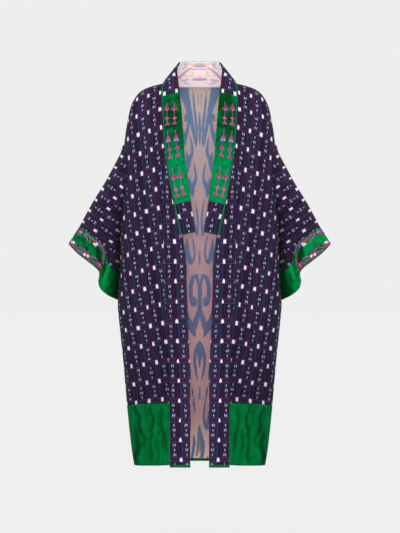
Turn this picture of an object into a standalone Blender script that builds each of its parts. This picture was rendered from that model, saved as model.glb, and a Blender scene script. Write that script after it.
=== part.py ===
"""Open-fronted chapan robe, filled out as worn and hollow inside.

Metres, +Z up. The opening faces -Y and the wearer's middle is X = 0. The origin
is the centre of the neck, at the height of the neck seam. Every cloth piece is a
thin wall: a grid of points on one shared surface, given a thickness.
"""
import bpy
import math
from collections import namedtuple
from mathutils import Vector

# Cloth thicknesses and working gaps
SHELL = 0.0020
VELVET = 0.0024
BAND_SHELL = 0.0030
THIN = 0.0010
PATCH = 0.0012
GAP = 0.0003
PIPING_RADIUS = 0.0019
SEAM_ALLOWANCE = PIPING_RADIUS + 0.0005
NECK_ALLOWANCE = PIPING_RADIUS + 0.0018

# Heights of the main lines
NECK_SEAM_Z = -0.003
BAND_END_Z = -0.443
HEM_SEAM_Z = -0.935
HEM_SEAM_RISE = 0.0145
HEM_Z = -1.1045
HEM_RISE = 0.0075
GORE_HEM_Z = -1.0975
GORE_BINDING = 0.0060
LINING_HEM = 0.0080

# Armhole: an egg-shaped ring lying on the side of the body
ARMHOLE_TOP_Z = -0.180
ARMHOLE_LOW_Z = -0.432
ARMHOLE_HALF_DEPTH = 0.052
ARMHOLE_EGG = 0.30
ARMHOLE_STEPS = 10
SLEEVE_LIFT = 0.0029

# A horizontal section is a superellipse of this power, fuller than an ellipse
SECTION_POWER = 2.3
ROUNDNESS = 2.0 / SECTION_POWER

Section = namedtuple("Section", "z half_width front_depth back_depth")
BODY_SECTIONS = (
    Section(-0.003, 0.1070, 0.045, 0.062),
    Section(-0.010, 0.1350, 0.047, 0.070),
    Section(-0.021, 0.1640, 0.049, 0.079),
    Section(-0.033, 0.1785, 0.053, 0.087),
    Section(-0.045, 0.1870, 0.058, 0.094),
    Section(-0.068, 0.1985, 0.068, 0.103),
    Section(-0.108, 0.2075, 0.085, 0.114),
    Section(-0.154, 0.2150, 0.104, 0.123),
    Section(-0.200, 0.2195, 0.117, 0.128),
    Section(-0.300, 0.2240, 0.126, 0.130),
    Section(-0.384, 0.2300, 0.128, 0.127),
    Section(-0.500, 0.2300, 0.126, 0.121),
    Section(-0.580, 0.2325, 0.122, 0.117),
    Section(-0.640, 0.2365, 0.118, 0.113),
    Section(-0.710, 0.2307, 0.113, 0.108),
    Section(-0.800, 0.2213, 0.107, 0.102),
    Section(-0.950, 0.2075, 0.099, 0.095),
    Section(-1.060, 0.1950, 0.094, 0.091),
    Section(-1.110, 0.1870, 0.092, 0.089),
)

# Lines down the front, each a half distance from the middle
Line = namedtuple("Line", "z x")
NECK_LINE = (
    Line(-0.003, 0.1040),
    Line(-0.030, 0.1070),
    Line(-0.100, 0.1030),
    Line(-0.173, 0.0995),
    Line(-0.231, 0.0925),
    Line(-0.300, 0.0820),
    Line(-0.360, 0.0710),
    Line(-0.415, 0.0585),
    Line(-0.443, 0.0535),
)
GORE_LINE = (
    Line(-0.182, 0.1018),
    Line(-0.250, 0.1035),
    Line(-0.414, 0.1030),
    Line(-0.570, 0.1000),
    Line(-0.684, 0.0945),
    Line(-0.800, 0.0885),
    Line(-0.911, 0.0850),
    Line(-1.110, 0.0843),
)
OPENING_LINE = (
    Line(-0.450, 0.0473),
    Line(-0.514, 0.0400),
    Line(-0.627, 0.0360),
    Line(-0.740, 0.0317),
    Line(-0.854, 0.0280),
    Line(-1.110, 0.0275),
)

# Free edge of the neck band against its seam: by height in front, by turn behind
FreeEdge = namedtuple("FreeEdge", "seam x y z")
BAND_FRONT_EDGE = (
    FreeEdge(-0.443, 0.0130, -0.1235, -0.434),
    FreeEdge(-0.400, 0.0195, -0.1240, -0.391),
    FreeEdge(-0.344, 0.0275, -0.1235, -0.334),
    FreeEdge(-0.287, 0.0345, -0.1210, -0.278),
    FreeEdge(-0.231, 0.0425, -0.1165, -0.224),
    FreeEdge(-0.173, 0.0475, -0.1055, -0.167),
    FreeEdge(-0.120, 0.0510, -0.0900, -0.113),
    FreeEdge(-0.075, 0.0550, -0.0715, -0.066),
    FreeEdge(-0.045, 0.0585, -0.0540, -0.033),
    FreeEdge(-0.022, 0.0625, -0.0350, 0.000),
    FreeEdge(-0.003, 0.0660, -0.0110, 0.036),
)
BAND_BACK_EDGE = (
    FreeEdge(76.0, 0.0660, -0.0110, 0.036),
    FreeEdge(90.0, 0.0610, 0.0100, 0.056),
    FreeEdge(115.0, 0.0550, 0.0290, 0.0630),
    FreeEdge(145.0, 0.0360, 0.0440, 0.0655),
    FreeEdge(180.0, 0.0000, 0.0510, 0.0665),
)
BAND_CAMBER = 0.0035

# Cuff rings, once round from the top fold (0) over the front to the underside (1)
Cuff = namedtuple("Cuff", "s seam_x seam_y seam_z edge_x edge_y edge_z")
CUFF_RINGS = (
    Cuff(0.00, 0.3495, 0.000, -0.4200, 0.3790, 0.000, -0.4660),
    Cuff(0.07, 0.3420, -0.017, -0.4230, 0.3715, -0.019, -0.4745),
    Cuff(0.20, 0.3230, -0.033, -0.4345, 0.3500, -0.037, -0.4950),
    Cuff(0.38, 0.3000, -0.041, -0.4505, 0.3200, -0.046, -0.5180),
    Cuff(0.52, 0.2830, -0.043, -0.4670, 0.2990, -0.048, -0.5345),
    Cuff(0.60, 0.2740, -0.039, -0.4820, 0.2890, -0.043, -0.5475),
    Cuff(0.66, 0.2690, -0.033, -0.5020, 0.2885, -0.035, -0.5600),
    Cuff(0.72, 0.2650, -0.037, -0.5220, 0.2910, -0.042, -0.5740),
    Cuff(0.80, 0.2570, -0.044, -0.5340, 0.2850, -0.053, -0.5940),
    Cuff(0.88, 0.2480, -0.034, -0.5420, 0.2670, -0.042, -0.6115),
    Cuff(0.95, 0.2405, -0.006, -0.5500, 0.2455, -0.006, -0.6245),
    Cuff(1.00, 0.2370, 0.024, -0.5550, 0.2375, 0.026, -0.6295),
    Cuff(1.06, 0.2400, 0.043, -0.5500, 0.2430, 0.046, -0.6240),
    Cuff(1.16, 0.2530, 0.050, -0.5370, 0.2600, 0.055, -0.6060),
    Cuff(1.40, 0.2780, 0.048, -0.5020, 0.2860, 0.053, -0.5560),
    Cuff(1.55, 0.2960, 0.044, -0.4770, 0.3090, 0.050, -0.5280),
    Cuff(1.70, 0.3140, 0.039, -0.4520, 0.3340, 0.044, -0.5040),
    Cuff(1.93, 0.3430, 0.016, -0.4240, 0.3715, 0.018, -0.4725),
)
CUFF_TUCK_S = 0.66
CUFF_SEAM_GAP = 0.012
SLEEVE_CAMBER = 0.010
SLEEVE_SAG = 0.0055
UNDERARM_CLEARANCE = 0.0030
UNDERARM_SET_BACK = 0.030
UNDERARM_TUCK = 0.0060

# Large soft folds: positive stands out, negative sinks in; turn is in degrees
Fold = namedtuple("Fold", "side turn spread height top_z")
BODY_FOLDS = (
    Fold(0, 30.0, 7.0, 0.0025, -0.62),
    Fold(0, 54.0, 9.0, -0.0045, -0.56),
    Fold(0, 75.0, 8.0, 0.0035, -0.72),
    Fold(-1, 112.0, 11.0, -0.0070, -0.48),
    Fold(-1, 136.0, 10.0, 0.0055, -0.60),
    Fold(-1, 161.0, 11.0, -0.0060, -0.44),
    Fold(1, 118.0, 10.0, -0.0060, -0.55),
    Fold(1, 146.0, 12.0, 0.0065, -0.46),
    Fold(1, 170.0, 9.0, -0.0045, -0.68),
)
SleeveFold = namedtuple("SleeveFold", "s spread height start end")
SLEEVE_FOLDS = (
    SleeveFold(0.46, 0.060, -0.0045, 0.10, 1.10),
    SleeveFold(0.27, 0.050, 0.0030, 0.25, 1.30),
    SleeveFold(0.82, 0.050, 0.0035, 0.45, 2.20),
    SleeveFold(1.30, 0.080, -0.0050, 0.10, 1.40),
    SleeveFold(1.62, 0.070, 0.0040, 0.30, 2.10),
)

# Rows down the body, above and below the armhole, and columns across the pieces
TOP_ROWS = (-0.007, -0.014, -0.026, -0.0455, -0.075, -0.110, -0.146)
LOW_ROWS = (-0.450, -0.500, -0.560, -0.620, -0.680, -0.745, -0.810, -0.875)
FRONT_COLUMNS = 8
GORE_COLUMNS = 3
BACK_HALF_COLUMNS = 8
HEM_STEPS = 4
BAND_COLUMNS = 3
NECK_STEPS = 8
SLEEVE_STEPS = 5
CUFF_STEPS = 3
SLEEVE_STATIONS = (0.0, 0.05, 0.12, 0.20, 0.30, 0.40, 0.50, 0.58, 0.62, 0.66, 0.70, 0.75,
                   0.81, 0.87, 0.93, 1.0, 1.06, 1.15, 1.28, 1.42, 1.57, 1.72, 1.86, 1.95)

LAPEL_TOP_Z = -0.0455
LAPEL_LOW_Z = -0.357
NECK_PATCH_FROM = 86.0
FACING_FROM_Z = -0.026

NAVY = (0.022, 0.020, 0.048)
GREEN = (0.000, 0.150, 0.045)
DARK_GREEN = (0.000, 0.100, 0.030)
CUFF_GREEN = (0.000, 0.200, 0.060)
LINING_ROSE = (0.560, 0.360, 0.310)
FACING_PINK = (0.830, 0.620, 0.740)


def smooth(rows, key, value, at):
    """Monotone cubic value of one table column against another."""
    xs = [getattr(row, key) for row in rows]
    ys = [getattr(row, value) for row in rows]
    if xs[0] > xs[-1]:
        xs.reverse()
        ys.reverse()
    if at <= xs[0]:
        return ys[0]
    if at >= xs[-1]:
        return ys[-1]
    k = max(i for i in range(len(xs) - 1) if xs[i] <= at)
    steps = [(ys[i + 1] - ys[i]) / (xs[i + 1] - xs[i]) for i in range(len(xs) - 1)]

    def slope(i):
        if i == 0 or i == len(xs) - 1:
            return steps[0] if i == 0 else steps[-1]
        before, after = steps[i - 1], steps[i]
        if before * after <= 0.0:
            return 0.0
        return 2.0 * before * after / (before + after)

    width = xs[k + 1] - xs[k]
    f = (at - xs[k]) / width
    rise = ys[k + 1] - ys[k]
    low, high = slope(k) * width, slope(k + 1) * width
    return ys[k] + f * (low + f * ((3 * rise - 2 * low - high) + f * (low + high - 2 * rise)))


def looped(rows, value, at):
    """Value of a table column that runs once round, from 0 to 2, at any place."""
    at = at % 2.0
    xs = [row.s for row in rows]
    count = len(xs)
    k = max(i for i in range(count) if xs[i] <= at)

    def place(i):
        turns, i = divmod(i, count)
        return xs[i] + 2.0 * turns, getattr(rows[i], value)

    (x0, y0), (x1, y1), (x2, y2), (x3, y3) = [place(k + i) for i in (-1, 0, 1, 2)]
    low = (y2 - y0) / (x2 - x0) * (x2 - x1)
    high = (y3 - y1) / (x3 - x1) * (x2 - x1)
    f = (at - x1) / (x2 - x1)
    rise = y2 - y1
    return y1 + f * (low + f * ((3 * rise - 2 * low - high) + f * (low + high - 2 * rise)))


def ramp(value, start, end):
    """0 before start, 1 after end, smooth between."""
    f = min(1.0, max(0.0, (value - start) / (end - start)))
    return f * f * (3.0 - 2.0 * f)


def bell(offset, spread):
    return math.exp(-0.5 * (offset / spread) ** 2)


# ---- the shared surface of the body -------------------------------------------------

def body_fold(turn, z, side):
    height = 0.0
    for fold in BODY_FOLDS:
        if fold.side in (0, side):
            grown = ramp(z, fold.top_z, HEM_Z)
            height += fold.height * grown * bell(math.degrees(turn) - fold.turn, fold.spread)
    return height


def body_point(turn, z, side):
    """Point of the body at a turn from the centre front, on one side (-1 or 1)."""
    if turn > math.pi:
        turn, side = 2.0 * math.pi - turn, -side
    half_width = smooth(BODY_SECTIONS, "z", "half_width", z)
    s, c = math.sin(turn), math.cos(turn)
    depth = smooth(BODY_SECTIONS, "z", "front_depth" if c > 0 else "back_depth", z)
    x = half_width * math.copysign(abs(s) ** ROUNDNESS, s)
    y = -depth * math.copysign(abs(c) ** ROUNDNESS, c)
    out = Vector((s / half_width, -c / depth, 0.0)).normalized()
    point = Vector((x, y, z)) + out * body_fold(turn, z, side)
    point.x *= side
    return point


def normal_of(surface, u, v, du, dv, outward):
    """Unit normal of a surface at (u, v), turned to the same side as outward."""
    along_u = surface(u + du, v) - surface(u - du, v)
    along_v = surface(u, v + dv) - surface(u, v - dv)
    normal = along_u.cross(along_v).normalized()
    return normal if normal.dot(outward) > 0 else -normal


def body_normal(turn, z, side):
    point = body_point(turn, z, side)
    outward = Vector((point.x, point.y, 0.0))
    return normal_of(lambda u, v: body_point(u, v, side), turn, z, 0.01, 0.0008, outward)


def front_turn(x, z):
    """Turn at which the front of the body is x away from the middle."""
    share = min(1.0, x / smooth(BODY_SECTIONS, "z", "half_width", z))
    return math.asin(share ** (1.0 / ROUNDNESS))


def armhole_z(s):
    middle = (ARMHOLE_TOP_Z + ARMHOLE_LOW_Z) / 2.0
    return middle + (ARMHOLE_TOP_Z - ARMHOLE_LOW_Z) / 2.0 * math.cos(math.pi * s)


def armhole_turn(z, behind):
    """Turn of the armhole ring at a height, on the front or the back of the body."""
    middle = (ARMHOLE_TOP_Z + ARMHOLE_LOW_Z) / 2.0
    lift = (z - middle) / ((ARMHOLE_TOP_Z - ARMHOLE_LOW_Z) / 2.0)
    lift = min(1.0, max(-1.0, lift))
    reach = ARMHOLE_HALF_DEPTH * math.sqrt(1.0 - lift * lift) * (1.0 + ARMHOLE_EGG * lift)
    depth = smooth(BODY_SECTIONS, "z", "back_depth" if behind else "front_depth", z)
    off_side = math.asin((reach / depth) ** (1.0 / ROUNDNESS))
    return math.pi / 2.0 + (off_side if behind else -off_side)


def side_turn(z, behind):
    """Outer limit of the front or back piece: armhole, or the side and shoulder seam."""
    half_gap = GAP / 2.0 / 0.10
    seam = math.pi / 2.0 + (half_gap if behind else -half_gap)
    if not ARMHOLE_LOW_Z < z < ARMHOLE_TOP_Z:
        return seam
    hole = armhole_turn(z, behind)
    return max(hole, seam) if behind else min(hole, seam)


# ---- building walls ------------------------------------------------------------------

def material(name, colour, roughness, sheen=0.0):
    made = bpy.data.materials.new(name)
    made.use_nodes = True
    shader = made.node_tree.nodes["Principled BSDF"]
    shader.inputs["Base Color"].default_value = (*colour, 1.0)
    shader.inputs["Roughness"].default_value = roughness
    shader.inputs["Sheen Weight"].default_value = sheen
    return made


def add_solid(name, points, faces, finish):
    mesh = bpy.data.meshes.new(name)
    mesh.from_pydata([tuple(p) for p in points], [], faces)
    mesh.update()
    if signed_volume(mesh) < 0.0:
        mesh.flip_normals()
    mesh.shade_smooth()
    mesh.set_sharp_from_angle(angle=math.radians(40))
    mesh.materials.append(finish)
    piece = bpy.data.objects.new(name, mesh)
    bpy.context.collection.objects.link(piece)
    return piece


def signed_volume(mesh):
    total = 0.0
    for face in mesh.polygons:
        a, b, c = [mesh.vertices[i].co for i in face.vertices]
        total += a.dot(b.cross(c))
    return total


def wall(name, grid, thickness, finish, offset=0.0, tube=False):
    """Closed cloth wall through a grid of (point, normal) rows.

    offset moves the whole wall out along the normals. A tube closes each row on itself.
    """
    rows, columns = len(grid), len(grid[0])
    points = []
    for shift in (offset + thickness / 2.0, offset - thickness / 2.0):
        points += [point + normal * shift for row in grid for point, normal in row]
    layer = rows * columns
    faces = []

    def quad(a, b, c, d):
        faces.append((a, b, c))
        faces.append((a, c, d))

    across = columns if tube else columns - 1
    for i in range(rows - 1):
        for j in range(across):
            a, b = i * columns + j, i * columns + (j + 1) % columns
            c, d = b + columns, a + columns
            quad(a, b, c, d)
            faces.append((layer + c, layer + b, layer + a))
            faces.append((layer + d, layer + c, layer + a))
    for i, turned in ((0, True), (rows - 1, False)):
        for j in range(across):
            a, b = i * columns + j, i * columns + (j + 1) % columns
            corners = (a, b, layer + b, layer + a)
            quad(*(reversed(corners) if turned else corners))
    if not tube:
        for j, turned in ((0, False), (columns - 1, True)):
            for i in range(rows - 1):
                a, b = i * columns + j, (i + 1) * columns + j
                corners = (a, b, layer + b, layer + a)
                quad(*(reversed(corners) if turned else corners))
    return add_solid(name, points, faces, finish)


def body_grid(places, side):
    return [[(body_point(t, z, side), body_normal(t, z, side)) for t, z in row] for row in places]


def spaced(start, end, steps):
    return [start + (end - start) * k / steps for k in range(steps + 1)]


# ---- fronts, gores, back ---------------------------------------------------------------

def below_neck_seam(turn):
    """Height just below the neck seam that leaves room for the piping."""
    start = body_point(turn, NECK_SEAM_Z, 1)
    low, high = NECK_SEAM_Z - 0.006, NECK_SEAM_Z
    for _ in range(24):
        middle = (low + high) / 2.0
        if (body_point(turn, middle, 1) - start).length > NECK_ALLOWANCE:
            low = middle
        else:
            high = middle
    return low


def inner_edge_of_front(z):
    neck = smooth(NECK_LINE, "z", "x", z) + SEAM_ALLOWANCE
    gore = smooth(GORE_LINE, "z", "x", z) + GAP / 2.0
    return max(neck, gore) if z < GORE_LINE[0].z else neck


def body_rows(behind):
    first = below_neck_seam(math.pi / 2.0)
    ring = tuple(armhole_z(k / ARMHOLE_STEPS) for k in range(ARMHOLE_STEPS + 1))
    band_end = () if behind else (BAND_END_Z,)
    return (first,) + TOP_ROWS + ring + band_end + LOW_ROWS


def hem_seam_slant(z):
    return HEM_SEAM_RISE * ramp(z, -0.60, HEM_SEAM_Z)


def front_row(z, slant):
    inner = front_turn(inner_edge_of_front(z), z)
    row = []
    for share in spaced(0.0, 1.0, FRONT_COLUMNS):
        turn = inner + (side_turn(z, False) - inner) * share
        row.append((turn, z + slant * (1.0 - share)))
    return row


def front_panel_places():
    rows = [front_row(z, hem_seam_slant(z)) for z in body_rows(False)]
    rows.append(front_row(HEM_SEAM_Z, HEM_SEAM_RISE))
    return rows


def front_hem_places():
    top = front_row(HEM_SEAM_Z, HEM_SEAM_RISE)
    rows = []
    for down in spaced(0.0, 1.0, HEM_STEPS):
        row = []
        for k, (turn, z) in enumerate(top):
            share = k / FRONT_COLUMNS
            hem = HEM_Z + HEM_RISE * (1.0 - share) ** 2
            height = (z - GAP) + (hem - (z - GAP)) * down
            inner = front_turn(smooth(GORE_LINE, "z", "x", height) + GAP / 2.0, height)
            row.append((inner + (side_turn(height, False) - inner) * share, height))
        rows.append(row)
    return rows


def gore_places(heights):
    rows = []
    for z in heights:
        outer = smooth(GORE_LINE, "z", "x", z) - GAP / 2.0
        if z > BAND_END_Z - 0.001:
            inner = smooth(NECK_LINE, "z", "x", z) + SEAM_ALLOWANCE
        else:
            inner = smooth(OPENING_LINE, "z", "x", z)
        ends = front_turn(inner, z), front_turn(outer, z)
        rows.append([(turn, z) for turn in spaced(*ends, GORE_COLUMNS)])
    return rows


def both_halves(half_rows):
    """Grid across the back from half rows that end at the centre back."""
    grid = []
    for row in half_rows:
        left = [(body_point(t, z, -1), body_normal(t, z, -1)) for t, z in row]
        right = [(body_point(t, z, 1), body_normal(t, z, 1)) for t, z in row[:-1]]
        grid.append(left + right[::-1])
    return grid


def back_half_rows():
    """Rows of the back, each from the side or armhole round to the centre back."""
    rows = []
    for z in (NECK_SEAM_Z,) + body_rows(True)[1:] + (HEM_SEAM_Z,):
        turns = spaced(side_turn(z, True), math.pi, BACK_HALF_COLUMNS)
        at_neck = z == NECK_SEAM_Z
        rows.append([(turn, below_neck_seam(turn) if at_neck else z) for turn in turns])
    return rows


def back_hem_half_rows():
    rows = []
    for z in spaced(HEM_SEAM_Z - GAP, HEM_Z, HEM_STEPS):
        turns = spaced(side_turn(z, True), math.pi, BACK_HALF_COLUMNS)
        rows.append([(turn, z) for turn in turns])
    return rows


def lining_half_rows():
    """The back and its hem band in one, ending a little above the hem."""
    hem_rows = back_hem_half_rows()[1:]
    hem_rows[-1] = [(turn, z + LINING_HEM) for turn, z in hem_rows[-1]]
    return back_half_rows()[1:] + hem_rows


# ---- neck band ---------------------------------------------------------------------------

def band_stations():
    """Seam stations of one half, from the front end to the centre back: (turn, z)."""
    rows = [z for z in body_rows(False)[1:] if z >= BAND_END_Z]
    front = [(front_turn(smooth(NECK_LINE, "z", "x", z), z), z) for z in reversed(rows)]
    front.append((front_turn(NECK_LINE[0].x, NECK_SEAM_Z), NECK_SEAM_Z))
    back = [(turn, NECK_SEAM_Z) for turn in spaced(math.pi / 2.0, math.pi, NECK_STEPS)]
    return front + back


def band_point(station, across, side):
    """Point on the band: across is 0 on the seam and 1 on the free edge."""
    turn, z = station
    if turn > math.pi:
        turn, side = 2.0 * math.pi - turn, -side
    seam = body_point(turn, z, 1)
    if z < NECK_SEAM_Z - 1e-6:
        table, at = BAND_FRONT_EDGE, z
    else:
        table, at = BAND_BACK_EDGE, math.degrees(turn)
    free = Vector([smooth(table, "seam", axis, at) for axis in "xyz"])
    outward = Vector((seam.x * 0.6, seam.y, 0.0)).normalized()
    camber = BAND_CAMBER * (1.0 - ramp(math.degrees(turn), 55.0, 85.0))
    point = seam.lerp(free, across) + outward * camber * 4.0 * across * (1.0 - across)
    point.x *= side
    return point


def band_shares(station):
    """Places across the band, the first one clear of the piping."""
    width = (band_point(station, 1.0, 1) - band_point(station, 0.0, 1)).length
    return spaced(NECK_ALLOWANCE / width, 1.0, BAND_COLUMNS)


def band_grid(stations, side):
    """Grid of the band; its normals come from the neighbouring stations."""
    grid = []
    for k, station in enumerate(stations):
        shares = band_shares(station)
        before = stations[max(k - 1, 0)]
        after = stations[min(k + 1, len(stations) - 1)]
        if abs(station[0] - math.pi) < 1e-6:
            after = (2.0 * math.pi - before[0], before[1])
        row = []
        for share in shares:
            point = band_point(station, share, side)
            along = band_point(after, share, side) - band_point(before, share, side)
            over = band_point(station, share + 0.05, side) - band_point(station, share - 0.05, side)
            normal = along.cross(over).normalized()
            outward = Vector((point.x, point.y - 0.01, 0.0))
            row.append((point, normal if normal.dot(outward) > 0 else -normal))
        grid.append(row)
    return grid


def left_to_right(grid, side):
    """Rows in the order that pieces running right round the neck have them."""
    return grid if side < 0 else grid[::-1]


def moved_off_middle(grid, distance):
    """The same grid with its last row pulled back from the centre back."""
    last = []
    for point, normal in grid[-1]:
        shifted = point.copy()
        shifted.x += math.copysign(distance, grid[-2][0][0].x)
        last.append((shifted, normal))
    return grid[:-1] + [last]


def piping(name, side, finish):
    """Round cord along the band seam, six-sided, with flat ends."""
    path = [body_point(turn, z, side) for turn, z in band_stations()]
    path[-1].x += side * GAP / 2.0
    points, faces, sides = [], [], 6
    for k, centre in enumerate(path):
        if k == len(path) - 1:
            along = Vector((-side, 0.0, 0.0))
        else:
            along = (path[k + 1] - path[max(k - 1, 0)]).normalized()
        first = along.cross(Vector((0.0, 1.0, 0.35))).normalized()
        second = along.cross(first).normalized()
        for corner in range(sides):
            angle = 2.0 * math.pi * corner / sides
            spoke = first * math.cos(angle) + second * math.sin(angle)
            points.append(centre + spoke * PIPING_RADIUS)
    for k in range(len(path) - 1):
        for corner in range(sides):
            a, b = k * sides + corner, k * sides + (corner + 1) % sides
            faces += [(a, b, b + sides), (a, b + sides, a + sides)]
    last = (len(path) - 1) * sides
    for corner in range(1, sides - 1):
        faces.append((0, corner + 1, corner))
        faces.append((last, last + corner, last + corner + 1))
    return add_solid(name, points, faces, finish)


# ---- sleeves and cuffs ----------------------------------------------------------------------

def sleeve_point(s, t, side):
    """Point of a sleeve: s once round in 0 to 2, t 0 armhole, 1 cuff seam, 2 cuff edge."""
    s = s % 2.0
    behind = s > 1.0
    z = armhole_z(2.0 - s if behind else s)
    turn = armhole_turn(z, behind)
    ring = body_point(turn, z, 1) + body_normal(turn, z, 1) * SLEEVE_LIFT
    seam = Vector([looped(CUFF_RINGS, "seam_" + axis, s) for axis in "xyz"])
    edge = Vector([looped(CUFF_RINGS, "edge_" + axis, s) for axis in "xyz"])
    point = ring.lerp(seam, t) if t < 1.0 else seam.lerp(edge, t - 1.0)
    middle = math.sin(math.pi * min(1.0, max(0.0, t)))
    front_or_back = math.sin(math.pi * s)
    point.y -= SLEEVE_CAMBER * middle * front_or_back
    underarm = bell(s - 1.0, 0.15)
    point.x += UNDERARM_CLEARANCE * middle * underarm
    tuck = ramp(t, 0.05, 0.25) * (1.0 - ramp(t, 0.70, 1.00))
    point.x -= UNDERARM_TUCK * tuck * bell(s - 1.07, 0.10)
    sag = ramp(t, 0.0, 0.12) * (1.0 - ramp(t, 0.40, 0.75))
    point.x -= SLEEVE_SAG * sag * bell(min(s, 2.0 - s), 0.22)
    point.y += UNDERARM_SET_BACK * ramp(t, 0.02, 0.18) * (1.0 - min(1.0, t)) * underarm
    for fold in SLEEVE_FOLDS:
        run = ramp(t, fold.start, fold.start + 0.35) * (1.0 - ramp(t, fold.end - 0.35, fold.end))
        push = fold.height * run * bell(s - fold.s, fold.spread)
        point.y -= math.copysign(push, front_or_back)
    point.x *= side
    return point


def sleeve_grid(stations, ts, side):
    centre_top, centre_low = Vector((0.225, 0.0, -0.306)), Vector((0.300, 0.0, -0.535))
    grid = []
    for t in ts:
        middle = centre_top.lerp(centre_low, t / 2.0)
        middle.x *= side
        row = []
        for s in stations:
            point = sleeve_point(s, t, side)
            at = 1.0 if abs(t - 1.0) <= CUFF_SEAM_GAP else t
            normal = normal_of(lambda u, v: sleeve_point(u, v, side), s, at, 0.012, 0.02,
                               point - middle)
            row.append((point, normal))
        grid.append(row)
    return grid


def cuff_stations(start, end):
    """Sleeve stations from start round to end, which may pass the top fold."""
    inside = [s for s in SLEEVE_STATIONS if start + 0.01 < s < end - 0.01]
    return [start] + inside + [end]


# ---- the robe ------------------------------------------------------------------------------------

def build_side(tag, side, cloth):
    wall("front_" + tag, body_grid(front_panel_places(), side), SHELL, cloth["ikat"])
    wall("hem_band_" + tag, body_grid(front_hem_places(), side), VELVET, cloth["hem velvet"])
    gore_top = [z for z in body_rows(False) if z < GORE_LINE[0].z - 0.01]
    gore_rows = gore_top + [HEM_SEAM_Z, -1.015, GORE_HEM_Z + GAP / 2.0]
    wall("gore_" + tag, body_grid(gore_places(gore_rows), side), SHELL, cloth["ikat"])
    binding_rows = [GORE_HEM_Z - GAP / 2.0, GORE_HEM_Z - GORE_BINDING]
    wall("gore_binding_" + tag, body_grid(gore_places(binding_rows), side), BAND_SHELL,
         cloth["hem velvet"])

    stations = band_stations()
    band = moved_off_middle(band_grid(stations, side), GAP / 2.0)
    wall("band_" + tag, left_to_right(band, side), BAND_SHELL, cloth["ikat"])
    piping("piping_" + tag, side, cloth["piping"])

    lapel = [place for place in stations if LAPEL_LOW_Z < place[1] <= LAPEL_TOP_Z]
    low_end = (front_turn(smooth(NECK_LINE, "z", "x", LAPEL_LOW_Z), LAPEL_LOW_Z), LAPEL_LOW_Z)
    lift = BAND_SHELL / 2.0 + GAP + PATCH / 2.0
    patch = left_to_right(band_grid([low_end] + lapel, side), side)
    wall("lapel_patch_" + tag, patch, PATCH, cloth["patch velvet"], offset=lift)

    half_gap = 0.0006
    sleeve_ts = spaced(0.0, 1.0 - half_gap, SLEEVE_STEPS)
    wall("sleeve_" + tag, sleeve_grid(SLEEVE_STATIONS, sleeve_ts, side), SHELL,
         cloth["ikat"], tube=True)
    cuff_ts = spaced(1.0 + CUFF_SEAM_GAP, 2.0, CUFF_STEPS)
    front_arc = cuff_stations(half_gap, CUFF_TUCK_S - half_gap)
    under_arc = cuff_stations(CUFF_TUCK_S + half_gap, 2.0 - half_gap)
    wall("cuff_panel_" + tag, sleeve_grid(front_arc, cuff_ts, side), VELVET,
         cloth["cuff velvet"])
    wall("cuff_under_" + tag, sleeve_grid(under_arc, cuff_ts, side), VELVET,
         cloth["cuff velvet"])


def build_back(cloth):
    wall("back", both_halves(back_half_rows()), SHELL, cloth["ikat"])
    wall("back_hem_band", both_halves(back_hem_half_rows()), VELVET, cloth["hem velvet"])
    inside = -(VELVET / 2.0 + GAP + THIN / 2.0)
    wall("back_lining", both_halves(lining_half_rows()), THIN, cloth["lining"], offset=inside)


def build_neck(cloth):
    """Facing inside the standing neck and velvet outside it, right across the back."""
    stations = band_stations()
    faced = [place for place in stations if place[1] >= FACING_FROM_Z - 1e-6]
    left = band_grid(faced, -1)
    right = band_grid(faced, 1)
    inside = -(BAND_SHELL / 2.0 + GAP + THIN / 2.0)
    wall("neck_facing", left + right[-2::-1], THIN, cloth["facing"], offset=inside)
    patched = [place for place in stations if math.degrees(place[0]) > NECK_PATCH_FROM]
    left = band_grid(patched, -1)
    right = band_grid(patched, 1)
    outside = BAND_SHELL / 2.0 + GAP + PATCH / 2.0
    wall("neck_patch", left + right[-2::-1], PATCH, cloth["patch velvet"], offset=outside)


def main():
    for old in list(bpy.data.objects):
        bpy.data.objects.remove(old)
    cloth = {
        "ikat": material("navy ikat cotton", NAVY, 0.85),
        "hem velvet": material("emerald hem velvet", GREEN, 0.60, 0.5),
        "patch velvet": material("dark green patch velvet", DARK_GREEN, 0.65, 0.5),
        "cuff velvet": material("bright green cuff velvet", CUFF_GREEN, 0.60, 0.5),
        "piping": material("green piping cord", DARK_GREEN, 0.60),
        "lining": material("rose ikat lining cotton", LINING_ROSE, 0.80),
        "facing": material("pale pink facing cotton", FACING_PINK, 0.80),
    }
    build_back(cloth)
    build_neck(cloth)
    for tag, side in (("l", -1), ("r", 1)):
        build_side(tag, side, cloth)


main()
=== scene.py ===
import math

import bmesh
import bpy
import numpy as np
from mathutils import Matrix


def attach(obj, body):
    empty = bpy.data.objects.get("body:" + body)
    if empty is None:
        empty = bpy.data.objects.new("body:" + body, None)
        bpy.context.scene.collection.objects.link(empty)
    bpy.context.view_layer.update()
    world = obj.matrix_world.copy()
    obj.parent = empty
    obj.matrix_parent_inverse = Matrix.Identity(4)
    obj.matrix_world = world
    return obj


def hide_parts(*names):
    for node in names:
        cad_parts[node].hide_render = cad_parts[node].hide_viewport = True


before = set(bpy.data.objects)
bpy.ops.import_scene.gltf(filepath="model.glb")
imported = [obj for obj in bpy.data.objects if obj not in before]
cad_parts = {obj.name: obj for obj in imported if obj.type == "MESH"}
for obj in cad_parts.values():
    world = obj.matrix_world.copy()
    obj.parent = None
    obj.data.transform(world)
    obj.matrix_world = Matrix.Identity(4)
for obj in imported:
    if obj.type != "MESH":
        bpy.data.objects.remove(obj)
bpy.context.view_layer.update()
print("frame loaded:", len(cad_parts), "nodes")

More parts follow.
